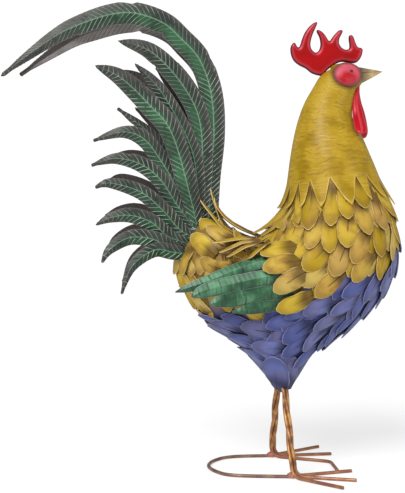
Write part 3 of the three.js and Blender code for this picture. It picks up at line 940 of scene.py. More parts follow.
@dataclass(frozen=True)
class HornPaint:
    """Grey at the root of the beak, warm gold towards its tip, with painted shade along the crease of the
    mouth.
    """

    name: str = "beak gold"
    root: Colour = paint(84, 74, 66)
    gold: Colour = paint(190, 160, 104)
    shine: Colour = paint(214, 190, 142)
    mouth_place: float = 0.25
    mouth_shade_share: float = 0.8
    metallic: float = 0.45
    roughness: float = 0.36

    def material(self) -> Finish:
        """Make the material.

        Returns:
            The material.
        """
        shader = Shader(self.name)
        across, along = shader.pattern()
        places = shader.places()
        crease = shader.apart(shader.apart(across, 0.5), self.mouth_place)
        colour = shader.coats(
            self.gold,
            (shader.ease(shader.noise(places, 150.0), 0.4, 0.65), self.shine),
            (shader.ease(along, 0.7, 0.18, 0.0, 0.9), self.root),
            # painted shade: the root's grey laid along the crease of the mouth
            (shader.ease(crease, 0.045, 0.015, 0.0, self.mouth_shade_share), self.root),
        )
        shader.dent(shader.noise(places, 500.0, 2.0), 0.2, 0.3)
        return shader.cover(colour, self.metallic, self.roughness)


@dataclass(frozen=True)
class CopperRod:
    """Bare bronze brown rod with darker bands, redder near the floor where it was heated."""

    name: str = "bronze rod"
    bright: Colour = paint(204, 152, 90)
    brown: Colour = paint(162, 108, 62)
    heated: Colour = paint(154, 98, 80)
    dark: Colour = paint(112, 70, 42)
    heated_reach: Span = (20.0, 3.6)
    heated_share: float = 0.65
    metallic: float = 0.35
    roughness: Span = (0.36, 0.54)

    def material(self) -> Finish:
        """Make the material.

        Returns:
            The material.
        """
        shader = Shader(self.name)
        places = shader.places()
        cloud = shader.noise(places, 90.0, 4.0)
        start, end = (height * MM for height in self.heated_reach)
        heat = shader.ease(shader.split(places)[2], start, end, 0.0, self.heated_share)
        colour = shader.ramp(shader.ease(cloud, 0.3, 0.72), (self.bright, self.brown, self.dark))
        colour = shader.mix(heat, colour, self.heated)
        shader.dent(shader.noise(places, 500.0, 2.0), 0.15, 0.3)
        return shader.cover(colour, self.metallic, shader.ease(cloud, 0.3, 0.7, *self.roughness))


@dataclass(frozen=True)
class UnderPaint:
    """Dull paint of the body behind the feathers, gold above and blue below, its darkness partly painted
    shade for the gaps between the feathers.
    """

    name: str = "dark under paint"
    # Darker than the feather paints, partly as painted shade for the gaps between the feathers.
    gold: Colour = paint(152, 118, 46)
    blue: Colour = paint(66, 70, 116)
    border: Span = (198.0, 174.0)
    metallic: float = 0.2
    roughness: Span = (0.5, 0.7)

    def material(self) -> Finish:
        """Make the material.

        Returns:
            The material.
        """
        shader = Shader(self.name)
        places = shader.places()
        top, bottom = (height * MM for height in self.border)
        colour = shader.mix(shader.ease(shader.split(places)[2], top, bottom), self.gold, self.blue)
        roughness = shader.ease(shader.noise(places, 60.0), 0.3, 0.7, *self.roughness)
        return shader.cover(colour, self.metallic, roughness)


# The last colour of each paint is the dark of its painted shade at edge and root, and also of the quill.
GOLD = FeatherPaint(
    "gold feather paint",
    (paint(168, 136, 24), paint(194, 160, 36), paint(204, 172, 54), paint(186, 146, 74),
     paint(204, 178, 92)),
    paint(166, 122, 62), paint(230, 202, 134), paint(84, 58, 26),
)
BLUE = FeatherPaint(
    "blue feather paint",
    (paint(74, 82, 142), paint(92, 102, 164), paint(112, 120, 178), paint(112, 112, 156),
     paint(84, 94, 156)),
    paint(112, 104, 140), paint(156, 160, 194), paint(38, 38, 66), worn_lit_rim_share=0.7,
)


@dataclass
class FeatherSpot:
    """Where one feather lies: its middle line root to tip, the way out, and its size."""

    path: Array
    out: Array
    half: float
    tone: float
    radius: float = 60.0
    tilt: float = 0.0

    def mirrored(self) -> "FeatherSpot":
        """The same place on the other side of the bird."""
        flip = np.array([1.0, -1.0, 1.0])
        return FeatherSpot(self.path * flip, self.out * flip, self.half, self.tone, self.radius, -self.tilt)


@dataclass
class FeatherBlank:
    """One small sheet feather, modelled flat and copied to every place."""

    half: float = 12.0
    length: float = 46.0
    sheet: float = 1.1
    dome: float = 1.5
    quill_depth: float = 0.8
    quill_end: Span = (0.5, 0.64)
    root_share: float = 0.62
    full_from: float = 0.6
    round_share: float = 0.46
    across_stops: Row = (-1.0, -0.88, -0.6, -0.14, 0.0, 0.14, 0.6, 0.88, 1.0)
    along_stops: Row = (0.0, 0.2, 0.38, 0.52, 0.66, 0.8, 0.93, 1.0)
    crease: float = 35.0
    piece: Optional[Piece] = None

    def build(self) -> None:
        """Shape a grid into a round-ended feather with a stamped quill and give it thickness."""
        self.piece = add_grid("feather_blank", len(self.across_stops) - 1, len(self.along_stops) - 1)
        across, along = grid_shares(self.piece)
        a, b = spread(self.across_stops, across), spread(self.along_stops, along)
        write_uv(self.piece, (a + 1.0) / 2.0, b)
        x = a * self.half * (self.root_share + (1.0 - self.root_share) * smoothstep(0.0, self.full_from, b))
        y = b * self.length * (1.0 - self.round_share * (1.0 - np.sqrt(1.0 - a**2)))
        quill = (np.abs(a) < 0.01) * (1.0 - smoothstep(*self.quill_end, b))
        z = -self.dome * a**2 - self.quill_depth * quill
        place_vertices(self.piece, np.stack([x, y, z], axis=-1))
        thicken(self.piece, self.sheet)
        shade(self.piece, self.crease)

    def copy_to(self, spot: FeatherSpot, name: str) -> Piece:
        """Copy the feather and bend the copy along a path.

        Args:
            spot: Where the copy lies.
            name: Name of the copy.

        Returns:
            The copy.
        """
        twin = copy_piece(self.piece, name)
        places = coordinates(self.piece) / MM
        share = places[:, 1] / self.length
        path = interpolate(spot.path, share)
        out = unit(interpolate(spot.out, share))
        way = interpolate(np.gradient(spot.path, axis=0), share)
        side = unit(np.cross(way, out))
        aside = places[:, 0] / self.half
        sag = (aside * spot.half) ** 2 / (2.0 * spot.radius)
        rise = places[:, 2] + aside * spot.tilt - sag
        place_vertices(twin, path + side * (aside * spot.half)[:, None] + out * rise[:, None])
        mark(twin, "tone", spot.tone)
        return twin

    def remove(self) -> None:
        """Take the flat blank out of the scene."""
        mesh = self.piece.data
        bpy.data.objects.remove(self.piece)
        bpy.data.meshes.remove(mesh)


@dataclass
class FeatherCoat:
    """The rows of small feathers, gold above and blue below."""

    blank: FeatherBlank
    rows: int = 15
    solid_rows: int = 13
    parted_rows: tuple[int, ...] = (9, 10)
    first_tip: float = 30.0
    pitch: float = 29.5
    length: float = 47.0
    half: float = 12.8
    spacing: float = 22.5
    spacing_at: float = 0.3
    turns: int = 241
    root: float = 1.0
    lift: float = 5.8
    front_lift: float = 4.6
    flank_lift: float = 1.6
    flank_from: Span = (0.35, 0.7)
    lift_power: float = 1.25
    tilt: float = 0.9
    stray_tip: Span = (-3.0, 3.0)
    stray_length: Span = (-2.0, 3.0)
    stray_turn: Span = (-0.05, 0.05)
    turn_about: float = 0.3
    stray_lift: Span = (-1.0, 1.2)
    stray_half: Span = (-1.2, 0.8)
    stray_tilt: Span = (-0.5, 0.5)
    reach_back: float = 15.1
    reach_belly: float = 17.0
    ridge_half: float = 20.0
    rear_low: float = 44.0
    rear_high: float = 30.0
    rear_split: float = 185.0
    cone_top: float = 126.0
    border: float = 184.0
    border_rises: Line = ((80.0, 0.25), (193.0, 0.75))
    stations: int = 9
    chance: random.Random = field(default_factory=lambda: random.Random(7))

    def solids(self, row: int) -> list[str]:
        """Names of the solids that a row stands for, none for a row without a solid."""
        ends = [f"_{side.word}" for side in Side] if row in self.parted_rows else [""]
        return [row_name(row) + end for end in ends if row <= self.solid_rows]

    def is_gold(self, place: Array) -> bool:
        """Tell whether a place lies above the line between gold and blue, which rises to the breast."""
        rise = sum(slope * max(0.0, float(place[0]) - start) for start, slope in self.border_rises)
        return bool(place[2] > self.border + rise)

    def is_open(self, tip: Array) -> bool:
        """Tell whether a feather with this tip is laid, away from the rump and the leg cone."""
        rear = self.rear_low if tip[2] < self.rear_split else self.rear_high
        return (abs(tip[1]) <= self.ridge_half or tip[0] >= rear) and tip[2] > self.cone_top

    def angles(self, row: int) -> list[float]:
        """Angles of the feathers in a row, evenly spaced over the skin.

        Args:
            row: Row number, 1 below the collar.

        Returns:
            The angles where the row still lies on the body.
        """
        tip = self.first_tip + self.pitch * row
        turns = np.linspace(0.0, TURN, self.turns)
        spots, open_turns = [], []
        for turn in turns:
            marks, run = SKIN.line(turn)
            front = (1.0 - math.cos(turn)) / 2.0
            reach = self.reach_back + (self.reach_belly - self.reach_back) * front
            spots.append(SKIN.point(np.interp(tip - self.length * self.spacing_at, run, marks), turn))
            open_turns.append(np.interp(reach, marks, run) >= tip)
        steps = np.linalg.norm(np.diff(np.array(spots), axis=0), axis=1)
        inside = np.array(open_turns[1:]) & np.array(open_turns[:-1])
        run = np.concatenate([[0.0], np.cumsum(steps * inside)])
        count = int(round(run[-1] / self.spacing))
        if count < 1:
            return []
        shift = 0.5 if row % 2 or not all(open_turns) else 0.0
        return [float(np.interp((index + shift) * run[-1] / count, run, turns)) for index in range(count)]

    def spot(self, row: int, angle: float) -> FeatherSpot:
        """Lay one feather of a row on the skin, a little out of line as by hand.

        Args:
            row: Row number.
            angle: Its angle in the row.

        Returns:
            Where the feather lies.
        """
        stray = self.chance.uniform
        tip = self.first_tip + self.pitch * row + stray(*self.stray_tip)
        length = self.length + stray(*self.stray_length)
        share = np.linspace(0.0, 1.0, self.stations)
        section = SKIN.section_at(tip - length * (1.0 - share), angle)
        turn = angle + stray(*self.stray_turn) * (share - self.turn_about)
        out = SKIN.normal(section, turn)
        flank = smoothstep(*self.flank_from, abs(math.sin(angle)))
        ends = self.lift if math.cos(angle) > 0.0 else self.front_lift
        lift = ends * (1.0 - flank) + self.flank_lift * flank
        rise = self.root + (lift + stray(*self.stray_lift)) * share**self.lift_power
        path = SKIN.point(section, turn) + out * rise[:, None]
        half, tone = self.half + stray(*self.stray_half), self.chance.random()
        return FeatherSpot(path, out, half, tone, tilt=self.tilt + stray(*self.stray_tilt))

    def build(self) -> None:
        """Copy the feather to all places, row by row, and dress each row."""
        finishes = {True: (Slot.GOLD_FEATHERS, GOLD.material(), "gold"),
                    False: (Slot.BLUE_FEATHERS, BLUE.material(), "blue")}
        for row in range(1, self.rows + 1):
            sorted_copies: dict[bool, list[Piece]] = {True: [], False: []}
            for index, angle in enumerate(self.angles(row)):
                spot = self.spot(row, angle)
                if self.is_open(spot.path[-1]):
                    laid = self.blank.copy_to(spot, f"feather_{row}_{index}")
                    sorted_copies[self.is_gold(spot.path[-1])].append(laid)
            for gold, copies in sorted_copies.items():
                if copies:
                    slot, finish, word = finishes[gold]
                    piece = join_pieces(copies, f"{word}_feathers_row_{row:02d}")
                    publish(piece, slot, finish, *self.solids(row))


@dataclass
class Saddle:
    """The feathers that are laid one by one: over the wing roots, on the flanks, rump, back and leg cone.

    A feather is given by its root and its tip in the side view and half its width, and some by their
    own heights over the skin from root to tip.
    """

    blank: FeatherBlank
    stations: int = 9
    tilt: float = 0.6
    shoulders: Table = (
        (107, 254, 65, 236, 10.7), (108, 238, 68, 226, 10.9), (114, 228, 78, 208, 10.9),
        (120, 203, 79, 190, 10.4),
    )
    shoulder_heights: Row = (3.0, 14.5, 16.5)
    collar_feathers: Table = (
        (122, 329, 117, 269, 11.0), (145, 331, 139, 274, 10.1), (156, 331, 157, 282, 10.3),
        (173, 337, 175, 294, 10.8), (188, 336, 212, 286, 9.8), (106, 327, 108, 276, 4.6),
        (99, 315, 92, 267, 4.2),
    )
    collar_heights: Row = (-0.8, 2.6, 7.4)
    gold_feathers: Table = (
        (110, 293, 95, 248, 10.3), (130, 293, 115, 249, 9.8), (139, 292, 136, 246, 9.8),
        (160, 296, 154, 252, 12.1), (171, 309, 179, 266, 10.4), (191, 314, 198, 271, 11.2),
        (211, 299, 217, 257, 7.6), (122, 270, 93, 235, 9.6), (141, 259, 109, 228, 12.8),
        (159, 262, 139, 223, 12.6), (184, 275, 160, 236, 11.5), (196, 287, 192, 243, 11.5),
        (219, 282, 206, 239, 8.1), (141, 238, 108, 212, 10.1), (156, 228, 121, 202, 12.4),
        (192, 250, 160, 218, 12.4), (202, 260, 191, 219, 8.6), (104, 296, 81, 254, 4.4),
        (98, 294, 69, 256, 4.0),
    )
    flank_heights: Row = (1.6, 4.2, 6.6)
    rump_feathers: Table = (
        (25, 259, 1, 281, 10.2, 2.0, 6.0), (36, 257, 7, 272, 8.7, 4.0, 9.0),
        (15, 243, -8, 264, 10.9, 3.0, 8.0), (22, 224, 1, 240, 8.1, 3.0, 7.0),
        (39, 231, 15, 235, 4.8, 3.0, 7.0), (67, 248, 35, 244, 8.3, 3.0, 8.0), (-21, 251, -21, 220, 6.8),
        (-15, 254, -10, 221, 8.2), (-4, 254, 0, 223, 7.1), (-24, 232, -13, 203, 7.2),
        (-16, 207, -2, 184, 7.2), (-12, 201, 14, 174, 8.2), (16, 211, 32, 183, 7.9),
        (-11, 229, 5, 199, 8.0), (10, 228, 20, 196, 7.9), (32, 236, 38, 203, 7.8),
        (48, 240, 54, 206, 10.0), (30, 216, 46, 184, 9.5), (6, 246, 12, 214, 9.5, 1.0, 3.5),
        (24, 246, 26, 214, 9.5, 1.0, 3.5), (52, 262, 20, 256, 9.0, 1.0, 5.0), (60, 256, 30, 238, 9.0),
        (64, 236, 62, 204, 10.0), (50, 214, 60, 184, 9.5),
    )
    rump_heights: Row = (1.0, 4.0)
    blue_feathers: Table = (
        (61, 161, 23, 180, 9.3), (84, 159, 46, 167, 11.6), (110, 181, 70, 168, 9.7),
        (151, 196, 108, 184, 11.4), (182, 198, 138, 184, 10.6), (190, 222, 149, 202, 10.5),
        (161, 183, 120, 165, 9.8), (124, 174, 86, 151, 12.3), (142, 170, 108, 140, 9.2),
        (124, 156, 86, 135, 9.8), (96, 140, 59, 146, 9.9), (70, 143, 32, 157, 7.4),
        (49, 142, 9, 162, 7.0), (80, 124, 44, 140, 7.0), (51, 158, 12, 173, 7.6),
        (35, 160, 0, 179, 6.9), (199, 229, 175, 195, 8.1), (186, 212, 164, 177, 8.1),
        (217, 222, 192, 187, 6.9), (222, 242, 193, 207, 7.6), (222, 260, 206, 221, 7.2),
        (181, 186, 147, 160, 8.2), (137, 146, 98, 121, 8.2), (132, 188, 88, 179, 7.3),
        (164, 176, 135, 145, 7.2),
    )
    cone_lobes: Table = (
        (94, 94.5, 100.5, 132, 10.5, 3.6, 2.6), (87.5, 94, 77.5, 134, 15.0, 4.6, 3.6),
    )
    ridge_paths: tuple[Line, ...] = (
        ((66, 262), (44, 270), (24, 282), (15, 306), (8, 330)),
        ((64, 259), (42, 265), (22, 279), (8, 296), (-2, 307)),
        ((70, 266), (46, 276), (28, 288), (18, 300), (14, 310)), ((59, 265), (42, 265), (10, 259)),
        ((62, 263), (42, 260), (18, 248)), ((63, 261), (44, 255), (26, 243)),
        ((72, 262), (58, 251), (48, 241)), ((99, 321), (92, 300), (74, 280), (56, 269)),
        ((100, 307), (94, 293), (80, 278), (65, 266)),
    )
    ridge_sides: Row = (3.0, 15.0, 8.0, 52.0, 57.0, 62.0, 66.0, 10.0, 26.0)
    ridge_half: float = 6.0
    ridge_lean: float = 0.14
    ridge_radius: float = 60.0
    rear_paths: tuple[Line, ...] = (
        ((-22, 262), (-31, 242), (-33, 222)), ((-26, 242), (-29, 222), (-23, 203)),
        ((-24, 222), (-19, 200), (-9, 182)), ((-10, 258), (-23, 240), (-25, 220)),
    )
    rear_sides: Row = (7.0, 7.0, 7.0, 21.0)
    rear_half: float = 9.0
    rear_lean: float = 0.5
    rear_radius: float = 25.0
    gold_rows: range = range(1, 7)
    blue_rows: range = range(5, 9)
    chance: random.Random = field(default_factory=lambda: random.Random(11))

    def flank_spot(self, feather: Sequence[float], heights: Sequence[float]) -> FeatherSpot:
        """Lay one feather on the right flank.

        Args:
            feather: Its root and tip in the side view and half its width.
            heights: Heights over the skin, evenly from root to tip.

        Returns:
            Where the feather lies.
        """
        share = np.linspace(0.0, 1.0, self.stations)
        root, tip = np.array(feather[0:2], float), np.array(feather[2:4], float)
        points, out = SKIN.flank(root + (tip - root) * share[:, None])
        path = points + out * spread(heights, share)[:, None]
        return FeatherSpot(path, out, feather[4], self.chance.random(), tilt=self.tilt)

    def flank_spots(self, feathers: Table, heights: Sequence[float] = ()) -> list[FeatherSpot]:
        """Lay a list of feathers on the right flank, at their own heights or at given ones."""
        return [self.flank_spot(feather, feather[5:] or heights) for feather in feathers]

    def flattened(self, spot: FeatherSpot) -> FeatherSpot:
        """Straighten a feather that stands off the skin.

        Args:
            spot: Where it lies.

        Returns:
            The same place with a straight middle line and one way out.
        """
        share = np.linspace(0.0, 1.0, self.stations)[:, None]
        spot.path = spot.path[0] + (spot.path[-1] - spot.path[0]) * share
        spot.out = np.tile(unit(spot.out.mean(axis=0)), (self.stations, 1))
        return spot

    def standing_spots(self, paths: Sequence[Line], sides: Sequence[float], half: float, lean: float,
                       radius: float) -> list[FeatherSpot]:
        """Lay feathers along lines of the side view, their faces up so that they are seen edge on.

        Args:
            paths: The lines, root to tip.
            sides: Distance of each line from the middle plane.
            half: Half the width of a feather.
            lean: How far the faces lean outwards.
            radius: How closely the feathers are bent.

        Returns:
            Where the feathers lie.
        """
        spots = []
        for line, aside in zip(paths, sides):
            flat = spline(line, np.linspace(0.0, 1.0, self.stations))
            path = np.stack([flat[:, 0], np.full(self.stations, -aside), flat[:, 1]], axis=-1)
            way = unit(np.gradient(path, axis=0))
            out = np.stack([way[:, 2], np.full(self.stations, -lean), -way[:, 0]], axis=-1)
            spots.append(FeatherSpot(path, unit(out), half, self.chance.random(), radius))
        return spots

    def lay_pair(self, name: str, spots: list[FeatherSpot], slot: Slot, finish: Finish,
                 *solids: str, rows: Sequence[int] = ()) -> None:
        """Copy the feather to places of the right side and to the same places of the left.

        Args:
            name: Name of the pair of pieces.
            spots: Places of the right side.
            slot: The record's slot for the finish.
            finish: The material.
            solids: Names of the solids that the pair stands for, without their side.
            rows: Rows round both sides that the pair stands for.
        """
        for side in Side:
            laid = spots if side is Side.RIGHT else [spot.mirrored() for spot in spots]
            copies = [self.blank.copy_to(spot, f"{name}_{side.word}_{index}")
                      for index, spot in enumerate(laid)]
            piece = join_pieces(copies, f"{name}_{side.word}")
            face_outwards(piece)
            own = [f"{solid}_{side.word}" for solid in solids]
            publish(piece, slot, finish, *own, *map(row_name, rows))

    def build(self) -> None:
        """Lay the shoulder, flank, rump, rear, ridge and cone feathers and dress them."""
        gold, blue = (Slot.GOLD_FEATHERS, GOLD.material()), (Slot.BLUE_FEATHERS, BLUE.material())
        shoulders = self.flank_spots(self.shoulders, self.shoulder_heights)
        self.lay_pair("shoulder_coverts", shoulders, *gold, "shoulder_feathers")
        flank = self.flank_spots(self.gold_feathers, self.flank_heights)
        flank += self.flank_spots(self.collar_feathers, self.collar_heights)
        self.lay_pair("gold_flank_feathers", flank, *gold, rows=self.gold_rows)
        rump = [self.flattened(spot) for spot in self.flank_spots(self.rump_feathers, self.rump_heights)]
        rump += self.standing_spots(self.rear_paths, self.rear_sides, self.rear_half, self.rear_lean,
                                    self.rear_radius)
        self.lay_pair("saddle_feathers", rump, *gold)
        ridge = self.standing_spots(self.ridge_paths, self.ridge_sides, self.ridge_half, self.ridge_lean,
                                    self.ridge_radius)
        self.lay_pair("ridge_feathers", ridge, *gold)
        flank = self.flank_spots(self.blue_feathers, self.flank_heights)
        self.lay_pair("blue_flank_feathers", flank, *blue, rows=self.blue_rows)
        self.lay_pair("cone_lobes", self.flank_spots(self.cone_lobes), *blue)


@dataclass
class Body:
    """The formed shell behind the feathers, ending in a blunt wedge."""

    wedge_bottom: float = 97.0
    across: int = 64
    along: int = 90
    first_section: float = 6.7

    def build(self) -> None:
        """Wrap a grid round the skin, close it and dress it."""
        piece = add_grid("body_under_feathers", self.across, self.along)
        across, along = grid_shares(piece)
        section = self.first_section + (SKIN.last - self.first_section) * along
        points = SKIN.point(section, across * TURN)
        points[:, 2] = np.maximum(points[:, 2], self.wedge_bottom)
        place_vertices(piece, points)
        seal(piece)
        publish(piece, Slot.GOLD_PAINT, UnderPaint().material(), "body_shell")


@dataclass
class Neck:
    """The formed neck and head, its lower edge cut into tongues, with a raised face on each side."""

    sheet: float = 1.1
    tongue_marks: Row = (
        0.0, 5.0, 10.0, 14.6, 21.4, 30.0, 34.4, 41.0, 48.0, 55.0, 61.6, 66.0, 74.6, 81.4, 86.0, 91.0,
        96.0,
    )
    columns_each: int = 6
    crown_rows: int = 10
    neck_rows: int = 110
    tongue_rows: int = 12
    tongue_length: float = 34.0
    stray_length: Span = (-4.0, 5.0)
    tongue_lift: float = 5.5
    stray_lift: Span = (-1.5, 2.0)
    tongue_round: float = 0.22
    tongue_close: float = 0.9
    close_power: float = 0.9
    curl_power: float = 1.4
    cup: float = 1.1
    head_middle: Triple = (158.0, 0.0, 440.0)
    face_rise: float = 3.4
    face_sides: Span = (3.0, 8.0)
    eye_depth: float = 1.3
    pattern_wide: float = 45.0
    pattern_long: float = 170.0
    crease: float = 35.0
    chance: random.Random = field(default_factory=lambda: random.Random(3))

    @property
    def tongues(self) -> int:
        """Number of tongues."""
        return len(self.tongue_marks) - 1

    @property
    def rows(self) -> int:
        """Number of faces from the crown to the tips of the tongues."""
        return self.crown_rows + self.neck_rows + self.tongue_rows

    def cut_tongues(self, piece: Piece) -> Array:
        """Split the lower edge of the flat blank between the tongues.

        Args:
            piece: The flat grid.

        Returns:
            For each vertex, the number of the tongue that it belongs to.
        """
        activate(piece)
        bpy.ops.object.mode_set(mode="EDIT")
        bpy.ops.mesh.select_mode(type="EDGE")
        bpy.ops.mesh.select_all(action="DESELECT")
        collar = (self.crown_rows + self.neck_rows) / self.rows
        for edge in bmesh.from_edit_mesh(piece.data).edges:
            first, second = (vert.co for vert in edge.verts)
            column = (first.x + 1.0) / 2.0 * self.tongues
            upright = abs(first.x - second.x) < 1e-5
            low = (min(first.y, second.y) + 1.0) / 2.0 > collar - 1e-4
            if upright and low and abs(column - round(column)) < 1e-3:
                edge.select = True
        bmesh.update_edit_mesh(piece.data)
        bpy.ops.mesh.edge_split(type="EDGE")
        bpy.ops.mesh.select_mode(type="VERT")
        mesh = bmesh.from_edit_mesh(piece.data)
        mesh.verts.ensure_lookup_table()
        owner = [np.mean([face.calc_center_median().x for face in vert.link_faces]) for vert in mesh.verts]
        bpy.ops.object.mode_set(mode="OBJECT")
        return np.clip(((np.array(owner) + 1.0) / 2.0 * self.tongues).astype(int), 0, self.tongues - 1)

    def crown(self, share: Array, angle: Array) -> Array:
        """Points of the round top of the head.

        Args:
            share: Places from its middle, 0, to the first section, 1.
            angle: Angles round it.

        Returns:
            One point for each pair.
        """
        rim = SKIN.point(np.zeros_like(angle), angle)
        middle = SKIN.point(np.zeros(2), np.array([0.0, math.pi])).mean(axis=0)
        wide = np.sin(share * math.pi / 2.0)[:, None]
        rise = np.cos(share * math.pi / 2.0)[:, None]
        return middle + (rim - middle) * wide + (np.asarray(SKIN.crown) - middle) * rise

    def raise_face(self, points: Array, out: Array) -> Array:
        """Raise the face ovals and dimple the eyes.

        Args:
            points: Points of the head.
            out: Their outward directions.

        Returns:
            The moved points.
        """
        sides = smoothstep(*self.face_sides, np.abs(points[:, 1]))
        face = np.sqrt(np.clip(1.0 - FACE.away(points) ** 4, 0.0, 1.0))
        eye = np.exp(-EYE.away(points) ** 2)
        return points + out * (sides * (self.face_rise * face - self.eye_depth * eye))[:, None]

    def build(self) -> None:
        """Roll a flat blank into the neck, spread its tongues and dress it."""
        piece = add_grid("neck_and_head_sheet", self.tongues * self.columns_each, self.rows)
        owner = self.cut_tongues(piece)
        across, along = grid_shares(piece)
        row = along * self.rows
        head, collar = self.crown_rows, self.crown_rows + self.neck_rows
        stray = self.chance.uniform
        lengths = np.array([self.tongue_length + stray(*self.stray_length) for _ in range(self.tongues)])
        lifts = np.array([self.tongue_lift + stray(*self.stray_lift) for _ in range(self.tongues)])
        inner = np.clip(across * self.tongues - owner, 0.0, 1.0) * 2.0 - 1.0
        down = np.clip((row - collar) / self.tongue_rows, 0.0, 1.0)
        drop = down * (1.0 - self.tongue_round * inner**2)
        narrow = inner * (1.0 - self.tongue_close * drop**self.close_power)
        marks = np.asarray(self.tongue_marks) / self.tongue_marks[-1] * TURN
        angle = marks[owner] + (marks[owner + 1] - marks[owner]) * (narrow + 1.0) / 2.0
        section = SKIN.collar * np.clip((row - head) / self.neck_rows, 0.0, 1.0)
        distance = drop * lengths[owner]
        below, above = down > 0.0, row < head
        section[below] = [SKIN.section_at(d, t) for d, t in zip(distance[below], angle[below])]
        points, out = SKIN.point(section, angle), SKIN.normal(section, angle)
        points[above] = self.crown(row[above] / head, angle[above])
        out[above] = unit(points[above] - np.asarray(self.head_middle))
        curl = drop**self.curl_power * lifts[owner] - self.cup * inner**2 * drop
        place_vertices(piece, self.raise_face(points, out) + out * curl[:, None])
        write_uv(piece, angle * self.pattern_wide, row / collar * self.pattern_long + distance)
        write_attribute(piece, "edge", np.where(below, np.maximum(np.abs(inner), down), 0.0))
        merge_doubles(piece)
        thicken(piece, self.sheet)
        shade(piece, self.crease)
        publish(piece, Slot.GOLD_PAINT, NeckPaint().material(), "neck_and_head")


@dataclass
class Comb:
    """The thick stamped comb with five fingers, pillowed from its edge."""

    thickness: float = 9.0
    edge_share: float = 0.36
    roll: float = 6.6
    voxel: float = 0.85
    smooth_factor: float = 0.5
    smooth_before: int = 4
    smooth_after: int = 3
    crease: float = 60.0
    outline: Line = (
        (134.3, 450.4), (125.5, 453.1), (118.7, 458.5), (110.6, 462.6), (104.5, 468.0), (101.5, 475.5),
        (101.1, 482.3), (102.7, 486.3), (105.8, 488.4), (108.1, 484.7), (110.3, 482.3), (112.3, 485.7),
        (114.6, 493.1), (118.0, 500.6), (123.4, 507.4), (128.9, 511.4), (132.0, 511.4), (130.9, 507.4),
        (127.5, 499.9), (124.8, 491.8), (124.1, 485.0), (125.7, 480.2), (129.5, 476.8), (132.9, 478.2),
        (135.0, 482.3), (135.6, 487.7), (134.3, 494.5), (131.6, 499.9), (130.9, 502.6), (134.3, 502.6),
        (139.0, 499.2), (142.4, 494.5), (145.8, 489.7), (149.2, 494.5), (154.0, 499.9), (157.4, 502.6),
        (161.4, 501.9), (160.1, 498.5), (157.4, 493.1), (156.9, 487.7), (159.4, 483.0), (164.1, 480.2),
        (168.2, 480.9), (168.9, 485.0), (168.2, 491.1), (168.2, 495.8), (170.9, 497.2), (173.6, 494.5),
        (175.7, 488.4), (178.4, 483.0), (181.8, 482.3), (184.1, 480.2), (183.1, 474.1), (180.4, 468.7),
        (175.7, 465.0), (168.9, 465.2), (160.7, 466.4), (154.0, 464.4), (147.2, 459.9), (141.8, 455.1),
        (137.7, 451.1),
    )
    rounding: int = 180
    overlap: int = 3

    def rounded(self) -> Array:
        """Round the outline.

        Returns:
            Points of a closed smooth curve.
        """
        wrapped = self.outline[-self.overlap:] + self.outline + self.outline[:self.overlap + 1]
        ends = np.array([self.overlap, self.overlap + len(self.outline)]) / (len(wrapped) - 1)
        return spline(wrapped, np.linspace(*ends, self.rounding, endpoint=False))

    def edge_distance(self, places: Array) -> Array:
        """Measure from the outline.

        Args:
            places: Points in the side view.

        Returns:
            Their distances from the outline.
        """
        corners = self.rounded()
        best = np.full(len(places), np.inf)
        for start, end in zip(corners, np.roll(corners, -1, axis=0)):
            way = end - start
            share = np.clip(((places - start) @ way) / (way @ way), 0.0, 1.0)
            best = np.minimum(best, np.linalg.norm(places - start - share[:, None] * way, axis=1))
        return best

    def build(self) -> None:
        """Draw the outline on a disc, extrude it, remesh it fine, pillow it and dress it."""
        clear_selection()
        bpy.ops.mesh.primitive_circle_add(vertices=self.rounding, radius=1.0, fill_type="NGON")
        piece = take_new("comb_enamelled")
        place_vertices(piece, np.insert(self.rounded(), 1, self.thickness / 2.0, axis=1))
        through = {"value": (0.0, -self.thickness * MM, 0.0)}
        edit_all(piece, bpy.ops.mesh.extrude_region_move, TRANSFORM_OT_translate=through)
        face_outwards(piece)
        apply_modifier(piece, "REMESH", mode="VOXEL", voxel_size=self.voxel * MM)
        apply_modifier(piece, "SMOOTH", factor=self.smooth_factor, iterations=self.smooth_before)
        places = coordinates(piece) / MM
        depth = np.clip(self.edge_distance(places[:, (0, 2)]) / self.roll, 0.0, 1.0)
        places[:, 1] *= self.edge_share + (1.0 - self.edge_share) * np.sqrt(1.0 - (1.0 - depth) ** 2)
        place_vertices(piece, places)
        apply_modifier(piece, "SMOOTH", factor=self.smooth_factor, iterations=self.smooth_after)
        write_attribute(piece, "edge", 1.0 - depth)
        shade(piece, self.crease)
        publish(piece, Slot.RED_ENAMEL, RedEnamel().material(), "comb")


